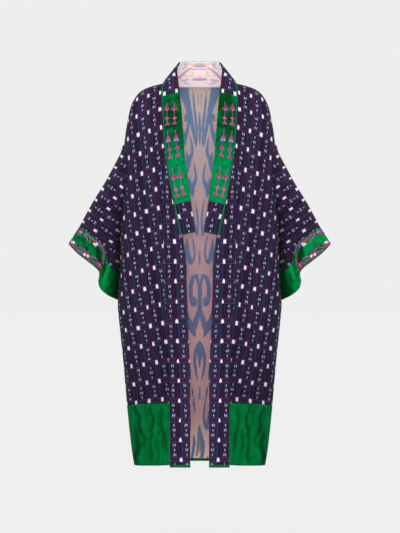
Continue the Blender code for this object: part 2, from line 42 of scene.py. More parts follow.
# The robe is open along -Y and the wearer's middle is X = 0. Lengths are metres.
# Every piece is cut from one shared surface, so neighbours meet along their seams.
sides = {"l": -1, "r": 1}

cloth = {
    "shell": 0.0020,           # quilted ikat with its backing
    "velvet": 0.0024,
    "band": 0.0030,
    "thin": 0.0010,            # lining and facing
    "patch": 0.0012,
    "gap": 0.0003,
    "pipingRadius": 0.0019,
    "cell": 0.0042,            # size of one mesh cell on the big panels
}
seamAllowance = cloth["pipingRadius"] + 0.0005
neckAllowance = cloth["pipingRadius"] + 0.0018

lines = {
    "neckSeam": -0.003,
    "bandEnd": -0.443,
    "hemSeam": -0.935,
    "hemSeamRise": 0.0145,
    "hem": -1.1045,
    "hemRise": 0.0075,
    "goreHem": -1.0975,
    "goreBinding": 0.0060,
    "liningHem": 0.0080,
    "armholeTop": -0.180,
    "armholeLow": -0.432,
    "armholeHalfDepth": 0.052,
    "armholeEgg": 0.30,
    "sleeveLift": 0.0029,
    "lapelTop": -0.0455,
    "lapelLow": -0.357,
    "neckPatchFrom": 86.0,
    "facingFrom": -0.026,
}
roundness = 2.0 / 2.3          # a section is a superellipse of power 2.3


def table(names, *rows):
    return dict(zip(names.split(), np.array(rows, float).T))


bodySections = table(
    "z halfWidth frontDepth backDepth",
    (-0.003, 0.1070, 0.045, 0.062),
    (-0.010, 0.1350, 0.047, 0.070),
    (-0.021, 0.1640, 0.049, 0.079),
    (-0.033, 0.1785, 0.053, 0.087),
    (-0.045, 0.1870, 0.058, 0.094),
    (-0.068, 0.1985, 0.068, 0.103),
    (-0.108, 0.2075, 0.085, 0.114),
    (-0.154, 0.2150, 0.104, 0.123),
    (-0.200, 0.2195, 0.117, 0.128),
    (-0.300, 0.2240, 0.126, 0.130),
    (-0.384, 0.2300, 0.128, 0.127),
    (-0.500, 0.2300, 0.126, 0.121),
    (-0.580, 0.2325, 0.122, 0.117),
    (-0.640, 0.2365, 0.118, 0.113),
    (-0.710, 0.2307, 0.113, 0.108),
    (-0.800, 0.2213, 0.107, 0.102),
    (-0.950, 0.2075, 0.099, 0.095),
    (-1.060, 0.1950, 0.094, 0.091),
    (-1.110, 0.1870, 0.092, 0.089),
)
neckLine = table(
    "z x",
    (-0.003, 0.1040), (-0.030, 0.1070), (-0.100, 0.1030), (-0.173, 0.0995), (-0.231, 0.0925),
    (-0.300, 0.0820), (-0.360, 0.0710), (-0.415, 0.0585), (-0.443, 0.0535),
)
goreLine = table(
    "z x",
    (-0.182, 0.1018), (-0.250, 0.1035), (-0.414, 0.1030), (-0.570, 0.1000), (-0.684, 0.0945),
    (-0.800, 0.0885), (-0.911, 0.0850), (-1.110, 0.0843),
)
openingLine = table(
    "z x",
    (-0.450, 0.0473), (-0.514, 0.0400), (-0.627, 0.0360), (-0.740, 0.0317), (-0.854, 0.0280),
    (-1.110, 0.0275),
)
bandFrontEdge = table(
    "seam x y z",
    (-0.443, 0.0130, -0.1235, -0.434),
    (-0.400, 0.0195, -0.1240, -0.391),
    (-0.344, 0.0275, -0.1235, -0.334),
    (-0.287, 0.0345, -0.1210, -0.278),
    (-0.231, 0.0425, -0.1165, -0.224),
    (-0.173, 0.0475, -0.1055, -0.167),
    (-0.120, 0.0510, -0.0900, -0.113),
    (-0.075, 0.0550, -0.0715, -0.066),
    (-0.045, 0.0585, -0.0540, -0.033),
    (-0.022, 0.0625, -0.0350, 0.000),
    (-0.003, 0.0660, -0.0110, 0.036),
)
bandBackEdge = table(
    "seam x y z",
    (76.0, 0.0660, -0.0110, 0.036),
    (90.0, 0.0610, 0.0100, 0.056),
    (115.0, 0.0550, 0.0290, 0.0630),
    (145.0, 0.0360, 0.0440, 0.0655),
    (180.0, 0.0000, 0.0510, 0.0665),
)
bandCamber = 0.0035
cuffRings = table(
    "s seamX seamY seamZ edgeX edgeY edgeZ",
    (0.00, 0.3495, 0.000, -0.4200, 0.3790, 0.000, -0.4660),
    (0.07, 0.3420, -0.017, -0.4230, 0.3715, -0.019, -0.4745),
    (0.20, 0.3230, -0.033, -0.4345, 0.3500, -0.037, -0.4950),
    (0.38, 0.3000, -0.041, -0.4505, 0.3200, -0.046, -0.5180),
    (0.52, 0.2830, -0.043, -0.4670, 0.2990, -0.048, -0.5345),
    (0.60, 0.2740, -0.039, -0.4820, 0.2890, -0.043, -0.5475),
    (0.66, 0.2690, -0.033, -0.5020, 0.2885, -0.035, -0.5600),
    (0.72, 0.2650, -0.037, -0.5220, 0.2910, -0.042, -0.5740),
    (0.80, 0.2570, -0.044, -0.5340, 0.2850, -0.053, -0.5940),
    (0.88, 0.2480, -0.034, -0.5420, 0.2670, -0.042, -0.6115),
    (0.95, 0.2405, -0.006, -0.5500, 0.2455, -0.006, -0.6245),
    (1.00, 0.2346, 0.029, -0.5550, 0.2360, 0.030, -0.6290),
    (1.06, 0.2358, 0.045, -0.5495, 0.2396, 0.048, -0.6235),
    (1.16, 0.2530, 0.050, -0.5370, 0.2600, 0.055, -0.6060),
    (1.40, 0.2780, 0.048, -0.5020, 0.2860, 0.053, -0.5560),
    (1.55, 0.2960, 0.044, -0.4770, 0.3090, 0.050, -0.5280),
    (1.70, 0.3140, 0.039, -0.4520, 0.3340, 0.044, -0.5040),
    (1.93, 0.3430, 0.016, -0.4240, 0.3715, 0.018, -0.4725),
)
cuffTuck = 0.66
stationGap = 0.0006
sleeveCamber = 0.010
sleeveSag = 0.0055
underarmClearance = 0.0030
underarmSetBack = 0.030
underarmTuck = 0.0060

# Large folds: positive stands out, negative sinks in; turn is in degrees from the front
bodyFolds = table(
    "side turn spread height top",
    (0, 30.0, 7.0, 0.0025, -0.62),
    (0, 54.0, 9.0, -0.0045, -0.56),
    (0, 75.0, 8.0, 0.0035, -0.72),
    (-1, 112.0, 11.0, -0.0070, -0.48),
    (-1, 136.0, 10.0, 0.0055, -0.60),
    (-1, 161.0, 11.0, -0.0060, -0.44),
    (1, 118.0, 10.0, -0.0060, -0.55),
    (1, 146.0, 12.0, 0.0065, -0.46),
    (1, 170.0, 9.0, -0.0045, -0.68),
)
sleeveFolds = table(
    "s spread height start end",
    (0.46, 0.060, -0.0045, 0.10, 1.10),
    (0.27, 0.050, 0.0030, 0.25, 1.30),
    (0.82, 0.050, 0.0035, 0.45, 2.20),
    (1.30, 0.080, -0.0050, 0.10, 1.40),
    (1.62, 0.070, 0.0040, 0.30, 2.10),
)

# Smaller creases: each runs from one end to the other, sinks by depth and fades at its ends.
# On the body an end is a place (distance from the middle, height); on a sleeve it is (s, t).
frontCreases = table(
    "x0 z0 x1 z1 width depth",
    (0.118, -0.560, 0.098, -0.925, 0.0080, 0.0036),
    (0.168, -0.640, 0.138, -0.940, 0.0100, 0.0020),
    (0.205, -0.700, 0.172, -0.960, 0.0090, 0.0024),
    (0.196, -0.455, 0.150, -0.560, 0.0110, 0.0018),
    (0.206, -0.300, 0.170, -0.420, 0.0100, 0.0016),
    (0.172, -0.075, 0.130, -0.210, 0.0120, 0.0015),
    (0.124, -0.250, 0.112, -0.480, 0.0080, 0.0014),
    (0.070, -0.560, 0.062, -0.900, 0.0090, 0.0012),
    (0.052, -0.830, 0.058, -1.090, 0.0070, 0.0012),
)
hemCreases = table(
    "x0 z0 x1 z1 width depth",
    (0.184, -0.930, 0.164, -1.015, 0.0050, 0.0030),
    (0.166, -1.000, 0.156, -1.060, 0.0055, 0.0026),
    (0.178, -1.000, 0.180, -1.110, 0.0060, 0.0030),
    (0.141, -0.925, 0.130, -0.995, 0.0040, 0.0028),
    (0.133, -0.985, 0.141, -1.030, 0.0045, 0.0026),
    (0.141, -1.020, 0.136, -1.100, 0.0045, 0.0022),
    (0.112, -0.930, 0.095, -1.070, 0.0045, 0.0022),
    (0.122, -1.000, 0.118, -1.100, 0.0040, 0.0014),
    (0.154, -0.925, 0.150, -0.985, 0.0035, 0.0014),
)
backCreases = table(
    "x0 z0 x1 z1 width depth",
    (0.020, -0.060, 0.120, -0.150, 0.0120, 0.0020),
    (0.060, -0.160, 0.185, -0.330, 0.0140, 0.0022),
    (-0.040, -0.090, -0.160, -0.260, 0.0130, 0.0022),
    (-0.095, -0.300, -0.190, -0.450, 0.0120, 0.0020),
    (0.105, -0.420, 0.060, -0.760, 0.0130, 0.0024),
    (-0.050, -0.380, -0.022, -0.690, 0.0120, 0.0020),
    (-0.130, -0.600, -0.110, -0.960, 0.0120, 0.0026),
    (0.150, -0.640, 0.128, -1.060, 0.0120, 0.0028),
    (0.030, -0.780, 0.045, -1.090, 0.0100, 0.0022),
    (-0.065, -0.840, -0.072, -1.100, 0.0090, 0.0022),
)
sleeveCreases = table(
    "s0 t0 s1 t1 width depth",
    (0.93, 0.10, 0.52, 0.80, 0.040, 0.0030),
    (0.98, 0.25, 0.70, 1.05, 0.035, 0.0028),
    (0.10, 0.20, 0.36, 0.95, 0.035, 0.0018),
    (0.30, 0.05, 0.55, 0.45, 0.040, 0.0020),
    (0.48, 1.02, 0.50, 1.80, 0.018, 0.0034),
    (0.24, 1.10, 0.30, 1.90, 0.016, 0.0014),
    (0.84, 1.05, 0.88, 1.90, 0.020, 0.0024),
    (0.75, 1.10, 0.77, 1.95, 0.012, 0.0018),
    (1.10, 0.10, 1.45, 0.85, 0.045, 0.0032),
    (1.25, 0.05, 1.72, 0.60, 0.040, 0.0026),
    (1.52, 0.45, 1.60, 1.20, 0.035, 0.0024),
    (1.20, 0.90, 1.24, 1.95, 0.030, 0.0026),
    (1.80, 0.30, 1.70, 1.10, 0.030, 0.0018),
)


def smooth(rows, key, value, at):           # monotone cubic reading of one column against another
    x, y = rows[key], rows[value]
    if x[0] > x[-1]:
        x, y = x[::-1], y[::-1]
    at = np.clip(at, x[0], x[-1])
    k = np.clip(np.searchsorted(x, at, "right") - 1, 0, len(x) - 2)
    step = np.diff(y) / np.diff(x)
    before, after = step[:-1], step[1:]
    total = before + after
    inner = np.where(before * after > 0, 2 * before * after / np.where(total == 0, 1, total), 0)
    slope = np.concatenate(([step[0]], inner, [step[-1]]))
    width = np.diff(x)[k]
    f = (at - x[k]) / width
    rise = y[k + 1] - y[k]
    low, high = slope[k] * width, slope[k + 1] * width
    return y[k] + f * (low + f * ((3 * rise - 2 * low - high) + f * (low + high - 2 * rise)))


def looped(rows, value, at):                # reading of a column that runs once round, 0 to 2
    x, y = rows["s"], rows[value]
    count = len(x)
    at = np.mod(at, 2.0)
    k = np.clip(np.searchsorted(x, at, "right") - 1, 0, count - 1)
    xs = [x[(k + i) % count] + 2.0 * ((k + i) // count) for i in (-1, 0, 1, 2)]
    ys = [y[(k + i) % count] for i in (-1, 0, 1, 2)]
    low = (ys[2] - ys[0]) / (xs[2] - xs[0]) * (xs[2] - xs[1])
    high = (ys[3] - ys[1]) / (xs[3] - xs[1]) * (xs[2] - xs[1])
    f = (at - xs[1]) / (xs[2] - xs[1])
    rise = ys[2] - ys[1]
    return ys[1] + f * (low + f * ((3 * rise - 2 * low - high) + f * (low + high - 2 * rise)))


def ramp(value, start, end):                # 0 before start, 1 after end, smooth between
    f = np.clip((value - start) / (end - start), 0.0, 1.0)
    return f * f * (3.0 - 2.0 * f)


def bell(offset, spread):
    return np.exp(-0.5 * (offset / spread) ** 2)


def stack(x, y, z):
    return np.stack(np.broadcast_arrays(x, y, z), axis=-1)


def toSide(side):                           # turns the wearer's left half into either half
    return np.array([side, 1.0, 1.0])


def bodyOutward(points):
    return points * np.array([1.0, 1.0, 0.0])


def unit(v):
    return v / np.maximum(np.linalg.norm(v, axis=-1, keepdims=True), 1e-12)


def creaseDepth(rows, a, b, aspect=1.0):    # how far the creases of a table sink a place (a, b)
    keys = list(rows)
    depth = np.zeros(np.broadcast(a, b).shape)
    for a0, b0, a1, b1, width, sink in zip(*[rows[key] for key in keys]):
        da, db = a1 - a0, (b1 - b0) * aspect
        length = math.hypot(da, db)
        f = ((a - a0) * da + (b - b0) * aspect * db) / length ** 2
        off = ((a - a0) * db - (b - b0) * aspect * da) / length
        wander = width * 0.6 * np.sin(9.0 * f + 40.0 * a0)
        ends = ramp(f, -0.12, 0.22) * (1.0 - ramp(f, 0.72, 1.12))
        lip = 0.45 * bell(off + wander - 2.1 * width, width * 0.9)   # the cloth pushed up beside it
        depth += sink * ends * (bell(off + wander, width) - lip)
    return depth


# Shared surfaces.

def xOf(rows, z):                           # distance from the middle of a line at a height
    return smooth(rows, "z", "x", z)


def widthAt(z):
    return smooth(bodySections, "z", "halfWidth", z)


def depthAt(z, behind):
    front, back = [smooth(bodySections, "z", key, z) for key in ("frontDepth", "backDepth")]
    return np.where(behind, back, front)


def hemSunk(x, z):                          # creases of the hem band, from just above its seam down
    return creaseDepth(hemCreases, x, z) * ramp(-z, -lines["hemSeam"] - 0.03, -lines["hemSeam"] + 0.01)


def bodyFold(turn, z, side):
    height = 0.0
    for foldSide, at, spread, lift, top in zip(*bodyFolds.values()):
        if foldSide in (0, side):
            height = height + lift * ramp(z, top, lines["hem"]) * bell(np.degrees(turn) - at, spread)
    return height


def bodyPoint(turn, z, side, creased=True):
    turn, z = np.broadcast_arrays(np.asarray(turn, float), np.asarray(z, float))
    halfWidth = widthAt(z)
    s, c = np.sin(turn), np.cos(turn)
    depth = depthAt(z, c <= 0)
    x = halfWidth * np.sign(s) * np.abs(s) ** roundness
    y = -depth * np.sign(c) * np.abs(c) ** roundness
    out = unit(stack(s / halfWidth, -c / depth, 0.0))
    height = bodyFold(turn, z, side)
    if creased:
        nearSide = 1.0 - ramp(turn, 1.25, 1.50)
        front = creaseDepth(frontCreases, x, z) * ramp(-z, 0.0, 0.1)
        hem = hemSunk(x, z)
        back = creaseDepth(backCreases, side * x, z) * ramp(-z, 0.02, 0.08)
        height = height - np.where(c > 0, (front + hem) * nearSide, back * ramp(turn, 1.64, 1.90))
    point = stack(x, y, z) + out * np.asarray(height)[..., None]
    return point * toSide(side)


def frontTurn(x, z):                        # turn at which the front is x away from the middle
    share = np.minimum(1.0, x / widthAt(z))
    return np.arcsin(share ** (1.0 / roundness))


armholeMiddle = (lines["armholeTop"] + lines["armholeLow"]) / 2
armholeHalf = (lines["armholeTop"] - lines["armholeLow"]) / 2


def armholeZ(s):
    return armholeMiddle + armholeHalf * np.cos(math.pi * s)


def armholeTurn(z, behind):
    lift = np.clip((z - armholeMiddle) / armholeHalf, -1, 1)
    reach = lines["armholeHalfDepth"] * np.sqrt(1 - lift * lift) * (1 + lines["armholeEgg"] * lift)
    depth = depthAt(z, behind)
    offSide = np.arcsin((reach / depth) ** (1.0 / roundness))
    return math.pi / 2 + np.where(behind, offSide, -offSide)


def sideTurn(z, behind):                    # side seam, or the armhole where that cuts further in
    halfGap = cloth["gap"] / 2 / 0.10
    seam = math.pi / 2 + (halfGap if behind else -halfGap)
    z = np.asarray(z, float)
    inHole = (z > lines["armholeLow"]) & (z < lines["armholeTop"])
    hole = armholeTurn(z, behind)
    cut = np.maximum(hole, seam) if behind else np.minimum(hole, seam)
    return np.where(inHole, cut, seam)


def normalsOf(points, outward):             # unit normals of a grid, on the side that outward points to
    normal = unit(np.cross(np.gradient(points, axis=1), np.gradient(points, axis=0)))
    return normal if np.sum(normal * outward) > 0 else -normal


def steps(start, end, size):
    return np.linspace(start, end, max(2, int(round(abs(end - start) / size)) + 1))


def belowNeckSeam(turn):                    # height just under the neck seam that clears the piping
    start = bodyPoint(turn, lines["neckSeam"], 1)
    low = np.full(np.shape(turn), lines["neckSeam"] - 0.006)
    high = np.full(np.shape(turn), lines["neckSeam"])
    for _ in range(22):
        middle = (low + high) / 2
        far = np.linalg.norm(bodyPoint(turn, middle, 1) - start, axis=-1) > neckAllowance
        low, high = np.where(far, middle, low), np.where(far, high, middle)
    return low


def bodyRows(top, bottom):                  # rows close together where the armhole turns quickly
    cell = cloth["cell"]
    ring = armholeZ(np.linspace(0, 1, 64))
    shoulder = steps(-0.007, -0.045, cell / 2)
    yoke = steps(-0.045 - cell, lines["armholeTop"] + cell / 2, cell)
    rows = np.concatenate(([top], shoulder, yoke, ring, steps(lines["armholeLow"] - cell / 2, bottom, cell)))
    return rows[(rows <= top) & (rows >= bottom)]


def innerEdgeOfFront(z):
    neck = xOf(neckLine, z) + seamAllowance
    gore = xOf(goreLine, z) + cloth["gap"] / 2
    return np.where(z < goreLine["z"][0], np.maximum(neck, gore), neck)


def frontPlaces(z, slant, columns=42):
    inner = frontTurn(innerEdgeOfFront(z), z)[:, None]
    outer = sideTurn(z, False)[:, None]
    share = np.linspace(0, 1, columns)[None, :]
    return inner + (outer - inner) * share, z[:, None] + slant[:, None] * (1 - share)


def hemPlaces(columns=46):
    share = np.linspace(0, 1, columns)[None, :]
    down = steps(0, 1, 0.024)[:, None]
    top = lines["hemSeam"] + lines["hemSeamRise"] * (1 - share) - cloth["gap"]
    low = lines["hem"] + lines["hemRise"] * (1 - share) ** 2
    z = top + (low - top) * down
    inner = frontTurn(xOf(goreLine, z) + cloth["gap"] / 2, z)
    return inner + (sideTurn(z, False) - inner) * share, z


def gorePlaces(z, columns=26):
    outer = xOf(goreLine, z) - cloth["gap"] / 2
    high = z > lines["bandEnd"] - 0.001
    inner = np.where(high, xOf(neckLine, z) + seamAllowance,
                     xOf(openingLine, z))
    first, last = frontTurn(inner, z)[:, None], frontTurn(outer, z)[:, None]
    turn = first + (last - first) * np.linspace(0, 1, columns)[None, :]
    return turn, np.broadcast_to(z[:, None], turn.shape)


def backHalf(z, columns):
    outer = sideTurn(z, True)[:, None]
    turn = outer + (math.pi - outer) * np.linspace(0, 1, columns)[None, :]
    return turn, np.array(np.broadcast_to(z[:, None], turn.shape))


def bothHalves(turn, z):                    # one grid right across the back
    left, right = bodyPoint(turn, z, -1), bodyPoint(turn, z, 1)
    return np.concatenate((left, right[:, -2::-1]), axis=1)


# Neck band.

bandRows = 150


def bandStations(rows=bandRows):            # seam stations of one half, front end to centre back
    z = np.linspace(lines["bandEnd"], lines["neckSeam"], rows)
    front = frontTurn(xOf(neckLine, z), z)
    back = np.linspace(math.pi / 2, math.pi, rows // 3)
    return np.concatenate((front, back)), np.concatenate((z, np.full(len(back), lines["neckSeam"])))


def bandPoint(turn, z, across, side):       # across is 0 on the seam and 1 on the free edge
    seam = bodyPoint(turn, z, 1, creased=False)
    inFront = z < lines["neckSeam"] - 1e-6
    free = [np.where(inFront, smooth(bandFrontEdge, "seam", axis, z),
                     smooth(bandBackEdge, "seam", axis, np.degrees(turn))) for axis in "xyz"]
    free = stack(*free)
    outward = unit(seam * np.array([0.6, 1.0, 0.0]))
    across = np.asarray(across)[..., None]
    camber = bandCamber * (1 - ramp(np.degrees(turn), 55.0, 85.0))[..., None]
    point = seam + (free - seam) * across + outward * camber * 4 * across * (1 - across)
    return point * toSide(side)


def bandGrid(stations, side, columns=22, first=None, last=1.0):
    turn, z = stations
    width = np.linalg.norm(bandPoint(turn, z, 1.0, 1) - bandPoint(turn, z, 0.0, 1), axis=-1)
    start = neckAllowance / width if first is None else np.full(len(z), first)
    across = start[:, None] + (last - start[:, None]) * np.linspace(0, 1, columns)[None, :]
    points = bandPoint(turn[:, None] + 0 * across, z[:, None] + 0 * across, across, side)
    return points, across


def bandOutward(points):
    return points - np.array([0.0, 0.01, 0.0])


# Sleeves.

def sleevePoint(s, t, side, creased=True):  # t is 0 at the armhole, 1 at the cuff seam, 2 at its edge
    s, t = np.broadcast_arrays(np.mod(np.asarray(s, float), 2.0), np.asarray(t, float))
    behind = s > 1.0
    z = armholeZ(np.where(behind, 2.0 - s, s))
    turn = armholeTurn(z, behind)
    ring = bodyPoint(turn, z, 1, creased=False)
    ring = ring + unit(bodyOutward(ring)) * lines["sleeveLift"]
    seam = stack(*[looped(cuffRings, "seam" + axis, s) for axis in "XYZ"])
    edge = stack(*[looped(cuffRings, "edge" + axis, s) for axis in "XYZ"])
    low, high = t[..., None], t[..., None] - 1.0
    point = np.where(low < 1.0, ring + (seam - ring) * low, seam + (edge - seam) * high)
    middle = np.sin(math.pi * np.clip(t, 0, 1))
    facing = np.sin(math.pi * s)
    underarm = bell(s - 1.0, 0.15)
    y = -sleeveCamber * middle * facing
    y = y + underarmSetBack * ramp(t, 0.02, 0.18) * (1.0 - np.minimum(1.0, t)) * underarm
    for at, spread, lift, start, end in zip(*sleeveFolds.values()):
        run = ramp(t, start, start + 0.35) * (1.0 - ramp(t, end - 0.35, end))
        y = y - np.sign(facing) * lift * run * bell(s - at, spread)
    if creased:
        clear = ramp(np.abs(facing), 0.05, 0.35) * ramp(t, 0.03, 0.15)
        y = y + np.sign(facing) * creaseDepth(sleeveCreases, s, t, 0.55) * clear
    sag = sleeveSag * ramp(t, 0.0, 0.12) * (1.0 - ramp(t, 0.40, 0.75)) * bell(np.minimum(s, 2.0 - s), 0.22)
    tuck = underarmTuck * ramp(t, 0.05, 0.25) * (1.0 - ramp(t, 0.70, 1.00)) * bell(s - 1.07, 0.10)
    point = point + stack(underarmClearance * middle * underarm - tuck - sag, y, 0.0)
    return point * toSide(side)


def sleeveOutward(points, t, side):
    share = np.broadcast_to(np.asarray(t) / 2.0, points.shape[:-1])[..., None]
    middle = np.array([0.225, 0.0, -0.306]) * (1 - share) + np.array([0.300, 0.0, -0.535]) * share
    return points - middle * toSide(side)


# Cloth shells.

keyStep = 10000                # a grid place (row, column) as one number


def turnedEdges(rows, columns, tube):       # rows and columns of the grid places along each free edge
    if tube:
        return [np.array([(r, k) for k in range(columns)]).T for r in (0, rows - 1)]
    ring = [(0, k) for k in range(columns)] + [(r, columns - 1) for r in range(1, rows)]
    ring += [(rows - 1, k) for k in range(columns - 2, -1, -1)] + [(r, 0) for r in range(rows - 2, 0, -1)]
    return [np.array(ring).T]


def shown(name, data):                      # puts a mesh, lamp or lens into the scene as an object
    made = bpy.data.objects.new(name, data)
    bpy.context.collection.objects.link(made)
    return made


def clothShell(name, points, normals, thickness, finishes, uv=None, offset=0.0, tube=False,
               marks=None):
    # finishes are for the outside, the inside and the turned edge; uv and marks belong to grid places
    rows, columns = points.shape[:2]
    flat, out = points.reshape(-1, 3), normals.reshape(-1, 3)
    outer, inner = [flat + out * (offset + half) for half in (thickness / 2, -thickness / 2)]
    place = np.arange(rows * columns).reshape(rows, columns)
    across = columns if tube else columns - 1
    i, j = [grid.ravel() for grid in np.meshgrid(np.arange(rows - 1), np.arange(across), indexing="ij")]
    nextJ = (j + 1) % columns
    quads = np.stack([place[i, j], place[i, nextJ], place[i + 1, nextJ], place[i + 1, j]], axis=1)
    corner = i * keyStep + j
    corners = np.stack([corner, corner + 1, corner + keyStep + 1, corner + keyStep], axis=1)
    a, b, c = outer[quads[:, 0]], outer[quads[:, 1]], outer[quads[:, 2]]
    if np.sum(np.cross(b - a, c - a) * out[quads[:, 0]]) < 0:
        quads, corners = quads[:, ::-1], corners[:, ::-1]
    layer = rows * columns
    vertices, faces, keys = [outer, inner], [quads, quads[:, ::-1] + layer], [corners, corners[:, ::-1]]
    for r, k in turnedEdges(rows, columns, tube):
        ids = place[r, k]
        near = place[np.clip(r, 1, rows - 2), k if tube else np.clip(k, 1, columns - 2)]
        rim = sum(len(part) for part in vertices) + np.arange(len(ids))
        vertices.append(flat[ids] + out[ids] * offset + unit(flat[ids] - flat[near]) * thickness * 0.42)
        after, rimAfter, key = np.roll(ids, -1), np.roll(rim, -1), r * keyStep + k
        faces += [np.stack([ids, after, rimAfter, rim], axis=1),
                  np.stack([rim, rimAfter, after + layer, ids + layer], axis=1)]
        keys += [np.stack([key, np.roll(key, -1), np.roll(key, -1), key], axis=1)] * 2
    vertices, allKeys = np.concatenate(vertices), np.concatenate(keys)
    slots = np.full(len(allKeys), 2)
    slots[:len(quads)], slots[len(quads):2 * len(quads)] = 0, 1
    mesh = bpy.data.meshes.new(name)
    mesh.from_pydata(vertices.tolist(), [], np.concatenate(faces).tolist())
    for finish in finishes:
        mesh.materials.append(finish)
    mesh.polygons.foreach_set("material_index", slots.astype(np.int32))
    if uv is not None:
        r, k = np.divmod(allKeys.ravel(), keyStep)
        mesh.uv_layers.new(name="cloth").data.foreach_set("uv", uv[r, k].astype(np.float32).ravel())
    for markName, values in (marks or {}).items():
        values = values.reshape(layer, -1)
        rimValues = np.zeros((len(vertices) - 2 * layer, values.shape[1]))
        kind, key = ("FLOAT_VECTOR", "vector") if values.shape[1] == 3 else ("FLOAT", "value")
        made = mesh.attributes.new(markName, kind, "POINT")
        made.data.foreach_set(key, np.concatenate([values, values, rimValues]).astype(np.float32).ravel())
    turnRimOutward(mesh)
    mesh.shade_smooth()
    return shown(name, mesh)


def turnRimOutward(mesh):                   # gives the turned edge the winding of the cloth beside it
    work = bmesh.new()
    work.from_mesh(mesh)
    bmesh.ops.recalc_face_normals(work, faces=work.faces)
    if work.calc_volume(signed=True) < 0:
        bmesh.ops.reverse_faces(work, faces=work.faces)
    work.to_mesh(mesh)
    work.free()


# Finishes.

studio = {
    "frontLight": 1.6,         # light on cloth that faces the camera, with a white surface at 1
    "neckLight": 1.2,          # and on the inside of the neck
    "insideLight": 0.85,       # and deep inside the robe
    "backdrop": "#eeeeee",
    "aboveFront": 2.6,         # light from above, in front of the robe and behind it
    "aboveBehind": 1.8,
    "frontLamp": 75,           # watts
    "lampPlace": (0.0, -5.6, -0.3),
    "lampTilt": 88,            # degrees up from looking straight down
    "lampSize": 1.4,
    "floorTone": 0.41,
    "floorHeight": -1.75,
    "floorRadius": 40.0,
    "cameraPlace": (0.0009, -5.0, -0.532),
    "lens": 116.46,
    "sensor": 36.0,
}


def linear(hexColour):                      # sRGB hex value to linear, with alpha
    parts = [int(hexColour[k:k + 2], 16) / 255 for k in (1, 3, 5)]
    return (*[c / 12.92 if c <= 0.04045 else ((c + 0.055) / 1.055) ** 2.4 for c in parts], 1.0)


def dyed(hexColour, light="frontLight"):    # cloth colour that looks like this value in the studio's light
    return (*[c / studio[light] for c in linear(hexColour)[:3]], 1.0)


def add(tree, kind, values=None, **settings):   # one node with its settings, and its values or links
    made = tree.nodes.new(kind)
    for name, value in settings.items():
        setattr(made, name, value)
    for key, value in (values or {}).items():
        if isinstance(value, bpy.types.NodeSocket):
            tree.links.new(value, made.inputs[key])
        else:
            made.inputs[key].default_value = value
    return made


# Each of the next ones adds a node and gives its output.

def calc(tree, operation, *values, clamp=False):
    return add(tree, "ShaderNodeMath", dict(enumerate(values)), operation=operation,
               use_clamp=clamp).outputs[0]


def vector(tree, operation, *values):
    return add(tree, "ShaderNodeVectorMath", dict(enumerate(values)), operation=operation).outputs[0]


def scaled(tree, place, factor):
    return add(tree, "ShaderNodeVectorMath", {0: place, "Scale": factor}, operation="SCALE").outputs[0]


def ranged(tree, value, low=0.0, high=1.0, toLow=0.0, toHigh=1.0, soft=False):
    limits = {"From Min": low, "From Max": high, "To Min": toLow, "To Max": toHigh}
    return add(tree, "ShaderNodeMapRange", {"Value": value, **limits},
               interpolation_type="SMOOTHSTEP" if soft else "LINEAR").outputs[0]


def noise(tree, place, scale, detail, roughness=0.5, dimensions="3D", output=0):
    return add(tree, "ShaderNodeTexNoise", {"W" if dimensions == "1D" else "Vector": place, "Scale": scale,
                                            "Detail": detail, "Roughness": roughness},
               noise_dimensions=dimensions).outputs[output]


def mixed(tree, factor, first, second):
    return add(tree, "ShaderNodeMix", {"Factor": factor, 6: first, 7: second}, data_type="RGBA").outputs[2]


def split(tree, value):
    return add(tree, "ShaderNodeSeparateXYZ", {0: value}).outputs


def mark(tree, name):
    return add(tree, "ShaderNodeAttribute", attribute_name=name).outputs


def onObject(tree, scale=None):             # the place on the piece, in metres or stretched
    spot = add(tree, "ShaderNodeTexCoord").outputs["Object"]
    return add(tree, "ShaderNodeMapping", {"Vector": spot, "Scale": scale}).outputs[0] if scale else spot


def surfaced(tree, shader, colour, strength=0.0, distance=0.0, height=None):   # colour and relief
    tree.links.new(colour, shader.inputs["Base Color"])
    if height is not None:
        bump = add(tree, "ShaderNodeBump", {"Strength": strength, "Distance": distance, "Height": height})
        tree.links.new(bump.outputs[0], shader.inputs["Normal"])


def newFinish(name, **sockets):
    finish = bpy.data.materials.new(name)
    finish.use_nodes = True
    tree = finish.node_tree
    shader = tree.nodes["Principled BSDF"]
    for socket, value in sockets.items():
        shader.inputs[socket.replace("_", " ")].default_value = value
    return finish, tree, shader


ikat = {
    "columnPitch": 37.0,       # millimetres between dot columns
    "rowPitch": 56.0,          # millimetres between dot rows
    "dotWidth": 6.6,
    "dotHeight": 11.0,
    "lineFromDot": 5.0,        # the paired plum warp lines stand this far from a column's middle
    "rowLine": 6.0,            # and the paired weft lines this far from a row's middle
    "lineWidth": 1.3,          # drawn wider than the real thread pair so that it shows
    "dashApart": 2.7,          # from the middle of a double dash to either of its bars
    "dashHalf": 1.3,
    "weave": 1.6,              # drawn thread spacing, where the real threads are half that
    "dark": "#15182b",
    "navy": "#22284a",
    "light": "#262844",
    "plum": "#6c2459",
    "rowPlum": "#7c2a5c",
    "dash": "#b4bcd4",
    "dot": "#f6f2f6",
}
columnPitch, rowPitch = ikat["columnPitch"] / 1000, ikat["rowPitch"] / 1000


